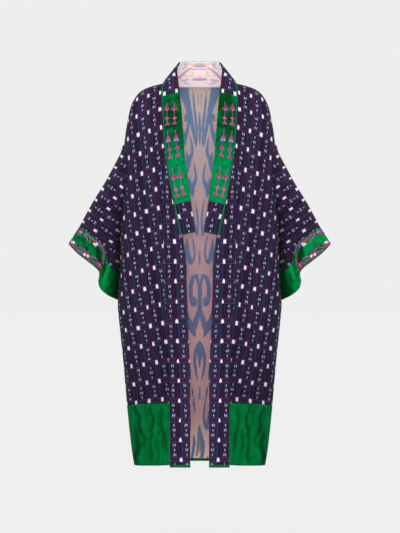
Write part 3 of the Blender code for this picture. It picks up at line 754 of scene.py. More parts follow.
def wovenIkat():
    # Handwoven cotton, warp tied and dyed before weaving: crisp across the warp, ragged along it
    finish, tree, shader = newFinish("woven cotton ikat, navy", Roughness=0.9, Sheen_Weight=0.02,
                                     Sheen_Roughness=0.6, Specular_IOR_Level=0.015)
    columns, rows = ikat["columnPitch"], ikat["rowPitch"]
    place = add(tree, "ShaderNodeUVMap", uv_map="cloth").outputs[0]
    drift = noise(tree, place, 0.9, 1.0, dimensions="2D", output="Color")
    centred = vector(tree, "SUBTRACT", drift, (0.5, 0.5, 0.5))
    moved = vector(tree, "MULTIPLY_ADD", centred, (0.10, 0.06, 0.0), place)
    u, v = split(tree, moved)[:2]

    # each warp thread was tied a little higher or lower than the next
    tied = noise(tree, u, 34.0, 0.0, dimensions="1D")
    slipped = calc(tree, "SUBTRACT", calc(tree, "MULTIPLY_ADD", tied, 0.11, v), 0.055)

    nearest = vector(tree, "ADD", moved, (0.5, 0.5, 0.0))
    cell = vector(tree, "FLOOR", nearest)
    chance = add(tree, "ShaderNodeTexWhiteNoise", {"Vector": cell}, noise_dimensions="2D").outputs[0]

    columnAway = calc(tree, "ABSOLUTE", calc(tree, "WRAP", u, 0.5, -0.5))
    fromRow = calc(tree, "WRAP", slipped, 0.5, -0.5)
    rowAway = calc(tree, "ABSOLUTE", fromRow)
    wovenAway = calc(tree, "ABSOLUTE", calc(tree, "WRAP", v, 0.5, -0.5))

    # dots: some wider, some narrower, and on the gores drawn out to a point above
    sized = calc(tree, "MULTIPLY_ADD", chance, 0.045, columnAway)
    above = calc(tree, "MULTIPLY_ADD", fromRow, -0.85, 0.0, clamp=True)
    pointed = calc(tree, "MULTIPLY_ADD", above, mark(tree, "spiky")["Fac"], sized)
    halfDot, halfTall = ikat["dotWidth"] / 2 / columns, ikat["dotHeight"] / 2 / rows
    across = ranged(tree, pointed, halfDot + 0.005, halfDot + 0.040, 1.0, 0.0, soft=True)
    along = ranged(tree, rowAway, halfTall - 0.025, halfTall + 0.030, 1.0, 0.0, soft=True)
    dot = calc(tree, "MULTIPLY", across, along)

    # paired plum lines along the warp, and paired weft lines over and under each row
    line = ikat["lineWidth"] / 2
    offLine = calc(tree, "COMPARE", columnAway, ikat["lineFromDot"] / columns, line / columns)
    offRow = calc(tree, "COMPARE", wovenAway, ikat["rowLine"] / rows, line / rows)
    between = calc(tree, "LESS_THAN", wovenAway, (ikat["rowLine"] - 1) / rows)

    # fine irregular warp stripes where the noise crosses its middle value
    pin = calc(tree, "COMPARE", noise(tree, u, 5.5, 1.0, dimensions="1D"), 0.5, 0.014)
    shade = ranged(tree, noise(tree, u, 1.9, 2.0, dimensions="1D"), 0.34, 0.66)

    # glyphs between the columns: three dashes, double-single-double or single-double-single
    fromHalf = calc(tree, "SUBTRACT", calc(tree, "WRAP", u, 1.0, 0.0), 0.5)
    third = calc(tree, "MULTIPLY_ADD", calc(tree, "WRAP", slipped, 1.0, 0.0), 4.0, -2.04)
    which = calc(tree, "ROUND", third)
    inDash = calc(tree, "SUBTRACT", third, which)
    tilt = calc(tree, "MULTIPLY_ADD", chance, 0.16, -0.08)
    leanAway = calc(tree, "ABSOLUTE", calc(tree, "MULTIPLY_ADD", inDash, tilt, fromHalf))
    cellAxes = split(tree, vector(tree, "FLOOR", moved))
    whichSum = calc(tree, "ADD", calc(tree, "ADD", cellAxes[0], cellAxes[1]), which)
    isDouble = calc(tree, "WRAP", whichSum, 2.0, 0.0)
    spread = calc(tree, "MULTIPLY", isDouble, ikat["dashApart"] / columns)
    dashAcross = calc(tree, "COMPARE", leanAway, spread, ikat["dashHalf"] / columns)
    dashTall = calc(tree, "COMPARE", inDash, 0.0, 0.235)
    rung = calc(tree, "COMPARE", inDash, 0.0, 0.055)
    rungHere = calc(tree, "MULTIPLY", rung, calc(tree, "LESS_THAN", leanAway, spread))
    strokes = calc(tree, "MAXIMUM", calc(tree, "MULTIPLY", dashAcross, dashTall), rungHere)
    glyph = calc(tree, "MULTIPLY", strokes, calc(tree, "COMPARE", which, 0.0, 1.2))
    dash = calc(tree, "MULTIPLY", glyph, ranged(tree, chance, toLow=0.55, toHigh=0.95))

    colour = mixed(tree, shade, dyed(ikat["dark"]), dyed(ikat["light"]))
    layers = ((pin, 0.30, "plum"), (between, 0.50, "navy"), (offLine, 0.45, "plum"),
              (offRow, 0.72, "rowPlum"), (dash, 1.0, "dash"), (dot, 1.0, "dot"))
    for mask, strength, key in layers:
        colour = mixed(tree, calc(tree, "MULTIPLY", mask, strength), colour, dyed(ikat[key]))
    # painted shade: the mark darkens the cloth where it lies in shade, and paints it lighter where the mark
    # is negative
    lit = calc(tree, "MULTIPLY_ADD", mark(tree, "paintedShade")["Fac"], -1.0, 1.0)

    threads = (columns / ikat["weave"] * 2 * math.pi, rows / ikat["weave"] * 2 * math.pi, 0.0)
    wave = split(tree, vector(tree, "SINE", vector(tree, "MULTIPLY", moved, threads)))
    surfaced(tree, shader, scaled(tree, colour, lit), 0.35, 0.0004, calc(tree, "MULTIPLY", wave[0], wave[1]))
    return finish


def velvet(name, deep, middle, bright, streak=(150.0, 150.0, 14.0), contrast=(0.36, 0.66), napSheenBelow=None):
    # Cut pile on a cotton ground: soft sheen at its turned edges and streaks where the nap is brushed
    finish, tree, shader = newFinish(name, Roughness=0.75, Sheen_Weight=0.22, Sheen_Roughness=0.35,
                                     Specular_IOR_Level=0.015)
    deep, middle, bright = dyed(deep), dyed(middle), dyed(bright)
    shader.inputs["Sheen Tint"].default_value = bright
    spot = onObject(tree)
    nap = noise(tree, onObject(tree, streak), 1.0, 3.0, 0.6)
    brushed = ranged(tree, nap, *contrast, soft=True)
    patches = noise(tree, spot, 34.0, 2.0)
    crushed = ranged(tree, patches, 0.42, 0.70, soft=True)
    colour = mixed(tree, brushed, deep, middle)
    lifted = calc(tree, "MULTIPLY", crushed, 0.75)
    if napSheenBelow:                               # painted sheen: below this height the nap lies the other way, and the pile there is painted lighter
        wobble = calc(tree, "MULTIPLY_ADD", patches, 0.06, split(tree, spot)[2])
        below = ranged(tree, wobble, *napSheenBelow, 1.0, 0.0, soft=True)
        mottled = ranged(tree, brushed, toLow=0.55, toHigh=0.92)
        lifted = calc(tree, "MAXIMUM", calc(tree, "MULTIPLY", lifted, 0.45),
                      calc(tree, "MULTIPLY", below, mottled))
    colour = mixed(tree, lifted, colour, bright)
    # painted shade pulls the pile towards deep; where the mark is negative, a painted highlight pulls it
    # towards bright
    paintedShade = mark(tree, "paintedShade")["Fac"]
    colour = mixed(tree, calc(tree, "MULTIPLY", paintedShade, 0.85, clamp=True), colour, deep)
    colour = mixed(tree, calc(tree, "MULTIPLY", paintedShade, -0.8, clamp=True), colour, bright)
    pile = noise(tree, spot, 900.0, 1.0)
    surfaced(tree, shader, colour, 0.5, 0.0006, calc(tree, "MULTIPLY_ADD", nap, 3.0, pile))
    return finish


liningTones = {                # at shares of the height, with the shade that falls inside the robe in them
    "ground": ((0.03, "#c1a298"), (0.13, "#a98a89"), (0.27, "#c9a1a4"), (0.45, "#cda6a9"),
               (0.63, "#d3b7b7"), (0.80, "#cab4b3"), (0.91, "#cbb6ae"), (0.97, "#d4bfb4")),
    "slate": ((0.03, "#40597f"), (0.20, "#4e6890"), (0.40, "#5f749f"), (0.60, "#6a8cbc"),
              (0.75, "#6787b6"), (0.92, "#6283ab")),
    "upper": 0.02,
    "lower": -1.11,
    "moss": "#6f7c38",
}


def liningCotton():
    # Soft warp ikat cotton: the slate figures have feathered edges along the warp
    finish, tree, shader = newFinish("lining cotton ikat, rose", Roughness=0.85, Sheen_Weight=0.05,
                                     Specular_IOR_Level=0.12)
    # the ramps change the lining's tones down the height, with painted shade from the inside of the robe in
    # them
    down = ranged(tree, split(tree, onObject(tree))[2], liningTones["lower"], liningTones["upper"])
    ramps = []
    for key in ("ground", "slate"):
        made = add(tree, "ShaderNodeValToRGB", {0: down})
        stops = made.color_ramp.elements
        while len(stops) < len(liningTones[key]):
            stops.new(0.5)
        for stop, (at, shade) in zip(stops, liningTones[key]):
            stop.position = at
            stop.color = dyed(shade, "insideLight")
        ramps.append(made.outputs[0])
    dye = split(tree, mark(tree, "dye")["Vector"])
    ragged = noise(tree, onObject(tree, (900.0, 4.0, 60.0)), 1.0, 2.0)
    edge = calc(tree, "MULTIPLY_ADD", ragged, 0.26, dye[0])
    figured = mixed(tree, ranged(tree, edge, 0.59, 0.67, toHigh=0.92, soft=True), *ramps)
    mossy = mixed(tree, dye[1], figured, dyed(liningTones["moss"], "insideLight"))
    colour = scaled(tree, mossy, ranged(tree, ragged, toLow=0.90, toHigh=1.10))
    surfaced(tree, shader, colour, 0.25, 0.0004, ragged)
    return finish


facingTones = {"pink": "#f1e1e7", "mauve": "#cc8cba", "orange": "#f6c492", "sage": "#a3bcae"}


def facingCotton():
    # Fine bleached cotton, faintly dyed: soft streaks, almost no gloss
    finish, tree, shader = newFinish("facing cotton, pale pink", Roughness=0.85, Sheen_Weight=0.1,
                                     Specular_IOR_Level=0.25)
    ragged = noise(tree, onObject(tree, (60.0, 60.0, 500.0)), 1.0, 2.0)
    dye = split(tree, mark(tree, "dye")["Vector"])
    colour = dyed(facingTones["pink"], "neckLight")
    for k, shade in enumerate(("mauve", "orange", "sage")):
        edge = calc(tree, "MULTIPLY_ADD", ragged, 0.5, dye[k])
        streak = ranged(tree, edge, 0.40, 0.95, toHigh=0.90, soft=True)
        colour = mixed(tree, streak, colour, dyed(facingTones[shade], "neckLight"))
    surfaced(tree, shader, colour, 0.2, 0.0003, ragged)
    return finish


def thread(name, shade, roughness=0.38, gloss=0.18):
    # Twisted silk floss: bright along the strand, so low roughness; cotton thread is duller
    finish, tree, shader = newFinish(name, Roughness=roughness, Specular_IOR_Level=gloss)
    uneven = noise(tree, onObject(tree), 700.0, 1.0)
    surfaced(tree, shader, scaled(tree, dyed(shade)[:3], ranged(tree, uneven, toLow=0.75, toHigh=1.25)))
    return finish


finishes = {
    "ikat": wovenIkat(),
    "hem": velvet("cotton velvet, emerald", "#003a1a", "#006a34", "#007c3c", streak=(170.0, 40.0, 9.0),
                  contrast=(0.26, 0.50)),
    "patch": velvet("silk velvet, patch green", "#003210", "#00501c", "#009a58", streak=(220.0, 220.0, 90.0),
                    napSheenBelow=(-0.215, -0.105)),
    "cuff": velvet("silk velvet, cuff green", "#003a18", "#00783a", "#009448", streak=(120.0, 60.0, 60.0)),
    "piping": thread("cotton sateen cord, green", "#007a46", 0.5, 0.05),
    "lining": liningCotton(),
    "facing": facingCotton(),
}
print("finishes made")


# Dyed figures of the lining and the facing, in millimetres from the middle of the neck.

mirrorWidth = 59.0             # the lining's pattern turns back on itself at every such distance
figures = {                    # (distance from the middle, height, half width) along each stroke
    "shoulder stream": ((46, 12, 14), (46, -18, 14), (39, -42, 11), (31, -72, 8), (24, -105, 5.5),
                        (17, -135, 5), (12, -165, 4), (10, -175, 1.5)),
    "long spike": ((20, -12, 1), (18, -40, 2.8), (14, -80, 3.6), (9, -120, 3.6), (8, -166, 1.5)),
    "centre stem": ((0, -76, 1.5), (0, -108, 3.6), (0, -148, 3.2), (0, -170, 1)),
    "fine spike": ((4.5, -22, 1), (4, -54, 1)),
    "top notch": ((0, 10, 3), (0, -4, 1)),
    "first hook": ((43, -100, 3), (41, -82, 3.5), (36, -84, 3.5), (34, -105, 4), (37, -130, 5),
                   (44, -150, 7), (47, -175, 3)),
    "edge leaf": ((51, -128, 3), (50, -150, 6), (47, -172, 3)),
    "second hook": ((29, -144, 1.5), (24, -163, 3), (22, -185, 4), (25, -203, 5), (33, -213, 8),
                    (36, -232, 8.5), (36, -250, 3)),
    "second barb": ((38, -192, 1.5), (36, -205, 5)),
    "third hook": ((18, -224, 1.5), (13, -245, 3), (11, -268, 4), (15, -284, 6), (23, -294, 9),
                   (24, -308, 8), (21, -324, 3)),
    "third barb": ((30, -268, 1.5), (30, -284, 5)),
    "inner tendril": ((13, -335, 1), (9, -360, 2.5), (6, -390, 3), (5, -412, 2), (8, -436, 3)),
    "outer tendril": ((30, -340, 2), (26, -368, 5), (19, -400, 5), (12, -425, 4), (9, -440, 2)),
    "crescent": ((38, -450, 2), (38, -475, 6), (34, -503, 8), (26, -521, 6), (18, -513, 3),
                 (15, -490, 3), (19, -460, 3), (24, -441, 1.5)),
    "centre dart": ((0, -484, 1.5), (0, -510, 3), (0, -530, 1)),
    "edge dart": ((42, -504, 1.5), (40, -540, 3.5), (38, -568, 1)),
    "scroll": ((9, -558, 4), (20, -564, 6), (27, -590, 6), (27, -620, 6), (21, -643, 6), (14, -648, 4),
               (11, -632, 3.2), (16, -624, 3)),
    "scroll stem": ((8, -562, 5), (3, -586, 4), (1.5, -620, 5), (1, -668, 6)),
    "outer lobe": ((38, -664, 2), (33, -690, 7), (24, -715, 10), (16, -732, 5), (12, -740, 1.5)),
    "inner lobe": ((4, -668, 6), (10, -690, 8), (17, -715, 8)),
    "drop": ((0, -755, 3), (7, -770, 6), (14, -795, 5), (15, -820, 4.5), (11, -845, 4), (6, -868, 1.5)),
    "drop heart": ((0, -768, 8), (0, -800, 7), (0, -830, 1.5)),
    "side arc": ((31, -814, 1.5), (29, -845, 3.4), (29, -882, 2)),
    "side seed": ((23, -889, 1.5), (21, -905, 3.2), (19, -922, 1)),
    "centre seed": ((0, -884, 1.5), (0, -905, 3.2), (0, -924, 2)),
    "thread between seeds": ((19, -914, 1), (8, -921, 1.2), (0, -923, 1.2)),
    "low hook": ((18, -924, 2), (14, -950, 3), (12, -975, 3.4), (15, -998, 4.4), (20, -1012, 3.6),
                 (25, -990, 4.6), (28, -962, 3.4)),
    "short hook": ((-18, -923, 2), (-17, -940, 4), (-13, -967, 1)),
    "side stem": ((30, -955, 1.5), (29, -990, 3), (29, -1020, 2)),
    "flame": ((-1, -1004, 3), (3, -1030, 6), (9, -1056, 6.5), (9, -1080, 6), (2, -1112, 4)),
    "flame tongue": ((-4, -1010, 2), (-4, -1040, 3.5), (-6, -1072, 3.5), (-9, -1090, 2)),
    "flame left": ((-18, -1028, 1.5), (-16, -1052, 5), (-22, -1090, 4), (-26, -1108, 4)),
    "flame foot": ((24, -1092, 2), (26, -1110, 5)),
}
oneSided = ("low hook", "short hook", "flame", "flame tongue", "flame left", "flame foot")
mossFigure = ((0, -1034, 0.6), (1, -1052, 2.2), (1, -1072, 1.6), (0, -1082, 0.6))
facingFigures = {
    0: (((62, 20, 3.4), (48, 34, 3.4), (36, 44, 3), (24, 50, 1.5)), ((58, 12, 1.2), (34, 16, 2)),
        ((18, 17, 3.4), (0, 17, 3.8)), ((52, 46, 1.5), (40, 55, 2.4)), ((18, 56, 2.4), (0, 55, 3.4)),
        ((46, 5, 1.2), (30, 3, 1.5)), ((24, 45, 1), (12, 47, 1.6), (0, 46, 1.2))),
    1: (((26, 38, 2.2), (19, 35, 2.4)), ((44, 28, 2.4), (38, 25, 1.8)), ((30, 27, 2), (20, 26, 2.2)),
        ((6, 25, 1.5), (0, 25, 1.5)), ((30, 61, 3), (17, 61, 3))),
    2: (((46, 60, 3), (37, 61, 3)), ((10, 61, 3), (0, 61, 3)), ((50, 9, 1), (38, 8, 1))),
}


def strokeField(x, z, stroke, soft):        # 1 inside a stroke, falling to 0 at soft beyond its edge
    field = np.zeros(np.shape(x))
    for (x0, z0, w0), (x1, z1, w1) in zip(stroke[:-1], stroke[1:]):
        dx, dz = x1 - x0, z1 - z0
        f = np.clip(((x - x0) * dx + (z - z0) * dz) / (dx * dx + dz * dz), 0, 1)
        away = np.hypot(x - x0 - f * dx, z - z0 - f * dz) - (w0 + f * (w1 - w0))
        field = np.maximum(field, np.clip(0.5 - away / soft, 0, 1))
    return field


def liningDye(points):                      # 0.5 at the edge of a figure, 1 at 12 mm inside it
    x, z = points[..., 0] * 1000, points[..., 2] * 1000
    folded = np.abs(np.mod(x + mirrorWidth, 2 * mirrorWidth) - mirrorWidth)
    slate = np.zeros(x.shape)
    for key, stroke in figures.items():
        place = x if key in oneSided else folded
        low, high = min(p[1] for p in stroke) - 25, max(p[1] for p in stroke) + 25
        near = (z > low) & (z < high) & (np.abs(x) < (mirrorWidth if key in oneSided else 1000))
        if near.any():
            slate[near] = np.maximum(slate[near], strokeField(place[near], z[near], stroke, 24.0))
    moss = np.where(np.abs(x) < 20, strokeField(x, z, mossFigure, 2.0), 0.0)
    return stack(slate, moss, 0.0)


def facingDye(points):
    x, z = np.abs(points[..., 0]) * 1000, points[..., 2] * 1000
    return stack(*[np.max([strokeField(x, z, stroke, 5.0) for stroke in facingFigures[k]], axis=0)
                   for k in range(3)])


# Where the woven pattern lies on each piece, in repeats across and along the warp.

def runAlong(points, axis, projected, arcShare):    # distance down one grid direction
    arc = np.linalg.norm(np.diff(points, axis=axis), axis=-1)
    flat = np.abs(np.diff(projected, axis=axis))
    share = (np.take(arcShare, range(1, arcShare.shape[axis]), axis)
             + np.take(arcShare, range(arcShare.shape[axis] - 1), axis)) / 2
    length = np.cumsum(flat * (1 - share) + arc * share, axis=axis)
    start = np.zeros_like(np.take(length, [0], axis))
    return np.concatenate((start, length), axis=axis)


frontWarp = table(             # the first dot column of a front, its distance from the middle and pitch
    "z x pitch rise",
    (-0.1025, 0.1810, 0.0337, 0.186),
    (-0.2680, 0.1635, 0.0343, 0.172),
    (-0.4280, 0.1438, 0.0352, 0.160),
    (-0.6410, 0.1128, 0.0362, 0.143),
    (-0.9090, 0.0680, 0.0378, 0.122),
)
frontRows = table(             # how many rows down from the first one a height lies
    "z row",
    (0.1000, -3.72), (-0.1007, 0.0), (-0.2100, 2.0), (-0.2683, 3.0), (-0.5358, 8.0), (-0.6929, 11.0),
    (-0.9094, 15.12), (-1.1100, 18.90),
)
goreWarp = table("z x", (-0.2000, 0.0780), (-0.4046, 0.0727), (-1.0810, 0.0529))
gorePitch = (0.0342, 0.0564)


def frontWeave(points):
    z = points[..., 2]
    halfWidth = widthAt(z)
    x = np.abs(points[..., 0])
    nearSide = ramp(x / halfWidth, 0.88, 0.995)
    spread = x[:, :1] + runAlong(points, 1, x, nearSide)
    drop = runAlong(points, 0, z, ramp(z, -0.13, -0.07))
    anchor = np.argmin(np.abs(z[:, 0] + 0.15))
    height = z[anchor] - (drop - drop[anchor])
    u = (smooth(frontWarp, "z", "x", z) - spread) / smooth(frontWarp, "z", "pitch", z)
    v = np.interp(-height, -frontRows["z"], frontRows["row"]) + u * smooth(frontWarp, "z", "rise", z)
    return stack(u, v, 0)[..., :2]


def goreWeave(points):
    x, z = np.abs(points[..., 0]), points[..., 2]
    column = np.interp(-z, -goreWarp["z"], goreWarp["x"])
    return stack((column - x) / gorePitch[0], (goreWarp["z"][1] - z) / gorePitch[1], 0)[..., :2]


def backWeave(points):
    z = points[..., 2]
    middle = points.shape[1] // 2
    across = runAlong(points, 1, points[..., 0], np.ones(z.shape))
    drop = runAlong(points, 0, z, ramp(z, -0.13, -0.07))
    anchor = np.argmin(np.abs(z[:, middle] + 0.15))
    height = z[anchor] - (drop - drop[anchor])
    across = across - across[:, middle:middle + 1]
    return stack(across / columnPitch, -height / rowPitch + 0.4, 0)[..., :2]


def bandWeave(points):
    across = runAlong(points, 1, points[..., 0], np.ones(points.shape[:2]))
    length = runAlong(points, 0, points[..., 2], np.ones(points.shape[:2]))
    low, high = [np.argmin(np.abs(points[:80, 0, 2] + 0.392)), np.argmin(np.abs(points[:, 0, 2] + 0.036))]
    length = length - length[low:low + 1, :1]
    return stack((across - 0.003) / columnPitch, length * 6.0 / length[high, 0], 0)[..., :2]


sleeveStart = np.array([0.2220, -0.1800])    # on the top fold: distance from the middle, height
foldRun = np.array([0.517, -0.857])
weftRun = np.array([0.581, -0.814])          # the warp leaves the fold at a slant
sleeveColumn = (0.0661, 0.0363)
sleeveRows = table(            # rows counted from the fold, with the drape of the sleeve in them
    "away row",
    (-0.0300, -1.0), (0.0167, 0.0), (0.0615, 1.0), (0.1167, 2.0), (0.1600, 3.0), (0.2500, 4.6),
)


def sleeveWeave(points, s):
    flat = np.abs(points[..., (0, 2)]) * np.array([1.0, -1.0]) - sleeveStart
    along = (flat @ weftRun - sleeveColumn[0]) / sleeveColumn[1]
    away = (foldRun[1] * flat[..., 0] - foldRun[0] * flat[..., 1]) / 0.998
    rows = np.interp(away, sleeveRows["away"], sleeveRows["row"])
    top = np.argmin(np.abs(s - 2.0))
    around = runAlong(points, 1, points[..., 0], np.ones(rows.shape))
    behind = rows[:, top:top + 1] + (around - around[:, top:top + 1]) / rowPitch
    return stack(along, np.where(s < 2.0, behind, rows), 0)[..., :2]


# Pieces of the robe.

robe = {}                      # piece name to object
cutAreas = {}                  # piece name to its measured width, length and area


def measured(points, tube=False):           # width and length along the cloth, and its area
    wrapped = np.concatenate((points, points[:, :1]), axis=1) if tube else points
    across = np.linalg.norm(np.diff(wrapped, axis=1), axis=-1).sum(axis=1)
    along = np.linalg.norm(np.diff(wrapped, axis=0), axis=-1).sum(axis=0)
    a = wrapped[1:, 1:] - wrapped[:-1, :-1]
    b = wrapped[1:, :-1] - wrapped[:-1, 1:]
    area = np.linalg.norm(np.cross(a, b), axis=-1).sum() / 2
    return float(across.max()), float(along.max()), float(area)


def piece(name, points, outward, thickness, look, **more):
    if more.get("tube"):
        around = np.concatenate((points[:, -1:], points, points[:, :1]), axis=1)
        facing = np.concatenate((outward[:, -1:], outward, outward[:, :1]), axis=1)
        normals = normalsOf(around, facing)[:, 1:-1]
    else:
        normals = normalsOf(points, outward)
    shades = [finishes[key] for key in look]
    robe[name] = clothShell(name + "_cloth", points, normals, thickness, shades, **more)
    cutAreas[name] = measured(points, more.get("tube", False))
    return normals


shading = {                    # how much darker cloth is dyed where it lies in shade; negative is lighter
    "frontLow": 0.26,
    "frontLowRange": (0.62, 0.92),          # metres below the neck
    "gore": -0.13,
    "sleeve": 0.10,
    "fullCrease": 0.0027,      # depth of a crease in the velvet that takes its full shade
    "hemSide": 0.30,
    "hemSideRange": (0.86, 1.0),            # shares of the half width
}


def velvetPaintedShade(points):                  # painted shade where the velvet sinks into a crease and towards the sides, painted highlight on the lip beside a crease; on the front half only
    x, z = np.abs(points[..., 0]), points[..., 2]
    side = ramp(x / widthAt(z), *shading["hemSideRange"])
    shade = np.clip(hemSunk(x, z) / shading["fullCrease"], -0.4, 1.0) + shading["hemSide"] * side
    return np.where(points[..., 1] < 0, shade, 0.0)


def makeFronts(tag, side):
    top = belowNeckSeam(np.array([math.pi / 2]))[0]
    z = bodyRows(top, lines["hemSeam"])
    slant = lines["hemSeamRise"] * ramp(z, -0.60, lines["hemSeam"])
    points = bodyPoint(*frontPlaces(z, slant), side)
    piece("front_" + tag, points, bodyOutward(points), cloth["shell"], ("ikat", "lining", "ikat"),
          uv=frontWeave(points),
          marks={"dye": liningDye(points),
                 "paintedShade": shading["frontLow"] * ramp(-points[..., 2], *shading["frontLowRange"])})

    points = bodyPoint(*hemPlaces(), side)
    piece("hem_band_" + tag, points, bodyOutward(points), cloth["velvet"], ("hem", "lining", "hem"),
          marks={"paintedShade": velvetPaintedShade(points), "dye": liningDye(points)})

    z = bodyRows(goreLine["z"][0] - 0.011, lines["goreHem"] + cloth["gap"] / 2)
    points = bodyPoint(*gorePlaces(z), side)
    piece("gore_" + tag, points, bodyOutward(points), cloth["shell"], ("ikat", "lining", "ikat"),
          uv=goreWeave(points),
          marks={"dye": liningDye(points), "spiky": ramp(-points[..., 2], 0.45, 0.66),
                 "paintedShade": np.full(points.shape[:2], shading["gore"])})

    z = np.linspace(lines["goreHem"] - cloth["gap"] / 2, lines["goreHem"] - lines["goreBinding"], 4)
    points = bodyPoint(*gorePlaces(z), side)
    piece("gore_binding_" + tag, points, bodyOutward(points), cloth["band"], ("hem", "hem", "hem"))


def backRows(bottom):
    top = belowNeckSeam(np.array([math.pi / 2]))[0]
    return np.concatenate(([lines["neckSeam"]], bodyRows(top, bottom)[1:]))


def makeBack():
    turn, z = backHalf(backRows(lines["hemSeam"]), 62)
    z[0] = belowNeckSeam(turn[0])
    points = bothHalves(turn, z)
    piece("back", points, bodyOutward(points), cloth["shell"], ("ikat", "lining", "ikat"),
          uv=backWeave(points), marks={"dye": liningDye(points)})

    z = steps(lines["hemSeam"] - cloth["gap"], lines["hem"], cloth["cell"])
    points = bothHalves(*backHalf(z, 62))
    piece("back_hem_band", points, bodyOutward(points), cloth["velvet"], ("hem", "hem", "hem"),
          marks={"paintedShade": velvetPaintedShade(points)})

    z = np.concatenate((backRows(lines["hemSeam"])[1:],
                        steps(lines["hemSeam"] - 0.003, lines["hem"] + lines["liningHem"], cloth["cell"])))
    z = np.interp(np.linspace(0, 1, 312), np.linspace(0, 1, len(z)), z)
    turn, z = backHalf(z, 74)                # columns stand closer where the lining shows
    side, middle = turn[:, :1], math.pi
    share = np.linspace(0, 1, turn.shape[1])[None, :]
    turn = side + (middle - side) * (1 - (1 - share) ** 1.9)
    points = bothHalves(turn, z)
    inside = -(cloth["velvet"] / 2 + cloth["gap"] + cloth["thin"] / 2)
    piece("back_lining", points, bodyOutward(points), cloth["thin"], ("lining", "lining", "lining"),
          offset=inside, marks={"dye": liningDye(points)})


def bandAcrossBack(stations, columns=22, first=None):
    left, right = [bandGrid(stations, side, columns, first)[0] for side in (-1, 1)]
    return np.concatenate((left, right[-2::-1]), axis=0)


def stationsWhere(keep, rows=bandRows):
    turn, z = bandStations(rows)
    return turn[keep(turn, z)], z[keep(turn, z)]


def lapelStations(rows=130):
    z = np.linspace(lines["lapelLow"], lines["lapelTop"], rows)
    return frontTurn(xOf(neckLine, z), z), z


def makeBand(tag, side):
    points = bandGrid(bandStations(), side)[0]
    points[-1, :, 0] += side * cloth["gap"] / 2
    piece("band_" + tag, points, bandOutward(points), cloth["band"], ("ikat", "ikat", "ikat"),
          uv=bandWeave(points))
    points = bandGrid(lapelStations(), side, 26)[0]
    lift = cloth["band"] / 2 + cloth["gap"] + cloth["patch"] / 2
    piece("lapel_patch_" + tag, points, bandOutward(points), cloth["patch"], ("patch", "patch", "patch"),
          offset=lift)


def makeNeck():
    faced = stationsWhere(lambda turn, z: z >= lines["facingFrom"] - 1e-6)
    points = bandAcrossBack(faced, 26, -0.045)      # it reaches down over the seam
    inside = -(cloth["band"] / 2 + cloth["gap"] + cloth["thin"])
    piece("neck_facing", points, bandOutward(points), cloth["thin"], ("facing", "facing", "facing"),
          offset=inside, marks={"dye": facingDye(points)})
    points = bandAcrossBack(stationsWhere(lambda turn, z: np.degrees(turn) > lines["neckPatchFrom"]))
    lift = cloth["band"] / 2 + cloth["gap"] + cloth["patch"] / 2
    piece("neck_patch", points, bandOutward(points), cloth["patch"], ("patch", "patch", "patch"),
          offset=lift)


def cuffPaintedShade(s, t, points):              # painted shade where the fold by the tuck and the turned-in side lie in shadow, and painted highlights beside the fold
    inside = ramp(t, 1.12, 1.35) * (1 - ramp(t, 1.58, 1.85))
    fold = bell(s - 0.445 - 0.15 * (t - 1.0), 0.036) * inside
    under = ramp(s, 0.83, 0.92) * 0.8 + bell(s - 0.735, 0.022) * inside * 0.45
    bright = bell(s - 0.43, 0.026) * inside * 0.6 + bell(s - 0.761 - 0.079 * (t - 1.0), 0.024)
    return np.clip(fold * 2.2 + under - bright, -1, 1.15) + 0 * points[..., 0]


def makeSleeves(tag, side):
    s, t = np.linspace(1.0, 3.0, 133), np.linspace(0.0, 0.9994, 72)
    points = sleevePoint(s[None, :], t[:, None], side)
    outward = sleeveOutward(points, t[:, None], side)
    piece("sleeve_" + tag, points[:, :-1], outward[:, :-1], cloth["shell"], ("ikat", "lining", "ikat"),
          tube=True, uv=sleeveWeave(points, s),
          marks={"paintedShade": np.full(points[:, :-1].shape[:2], shading["sleeve"])})
    gap = stationGap           # the pieces of a cuff don't touch
    arcs = {"cuff_panel_": (gap, cuffTuck - gap, 64), "cuff_under_": (cuffTuck + gap, 2.0 - gap, 110)}
    for name, (start, end, columns) in arcs.items():
        s, t = np.linspace(start, end, columns), np.linspace(1.0006, 2.0, 26)
        points = sleevePoint(s[None, :], t[:, None], side)
        outward = sleeveOutward(points, t[:, None], side)
        piece(name + tag, points, outward, cloth["velvet"], ("cuff", "cuff", "cuff"),
              marks={"paintedShade": cuffPaintedShade(s[None, :], t[:, None], points)})


def cordAlong(path, radius, name, finish, ringSides=12):
    count = len(path)
    along = unit(np.gradient(path, axis=0))
    first = unit(np.cross(along, [0.0, 1.0, 0.35]))
    second = np.cross(along, first)
    angle = np.linspace(0, 2 * math.pi, ringSides, endpoint=False)
    size = radius * np.minimum(1.0, 0.55 + 0.5 * np.minimum(np.arange(count), np.arange(count)[::-1]))
    spoke = np.cos(angle)[None, :, None] * first[:, None] + np.sin(angle)[None, :, None] * second[:, None]
    points = path[:, None] + spoke * size[:, None, None]
    work = bmesh.new()
    rings = [[work.verts.new(p) for p in row] for row in points]
    for row, after in zip(rings[:-1], rings[1:]):
        for k in range(ringSides):
            m = (k + 1) % ringSides
            work.faces.new((row[k], row[m], after[m], after[k]))
    work.faces.new(rings[0][::-1])
    work.faces.new(rings[-1])
    bmesh.ops.recalc_face_normals(work, faces=work.faces)
    mesh = bpy.data.meshes.new(name)
    work.to_mesh(mesh)
    work.free()
    mesh.materials.append(finish)
    mesh.shade_smooth()
    return shown(name, mesh)


def makePiping(tag, side):
    turn, z = bandStations(240)
    path = bodyPoint(turn, z, side, creased=False)
    path[-1, 0] += side * cloth["gap"] / 2
    robe["piping_" + tag] = cordAlong(path, cloth["pipingRadius"], f"piping_{tag}_cord", finishes["piping"])


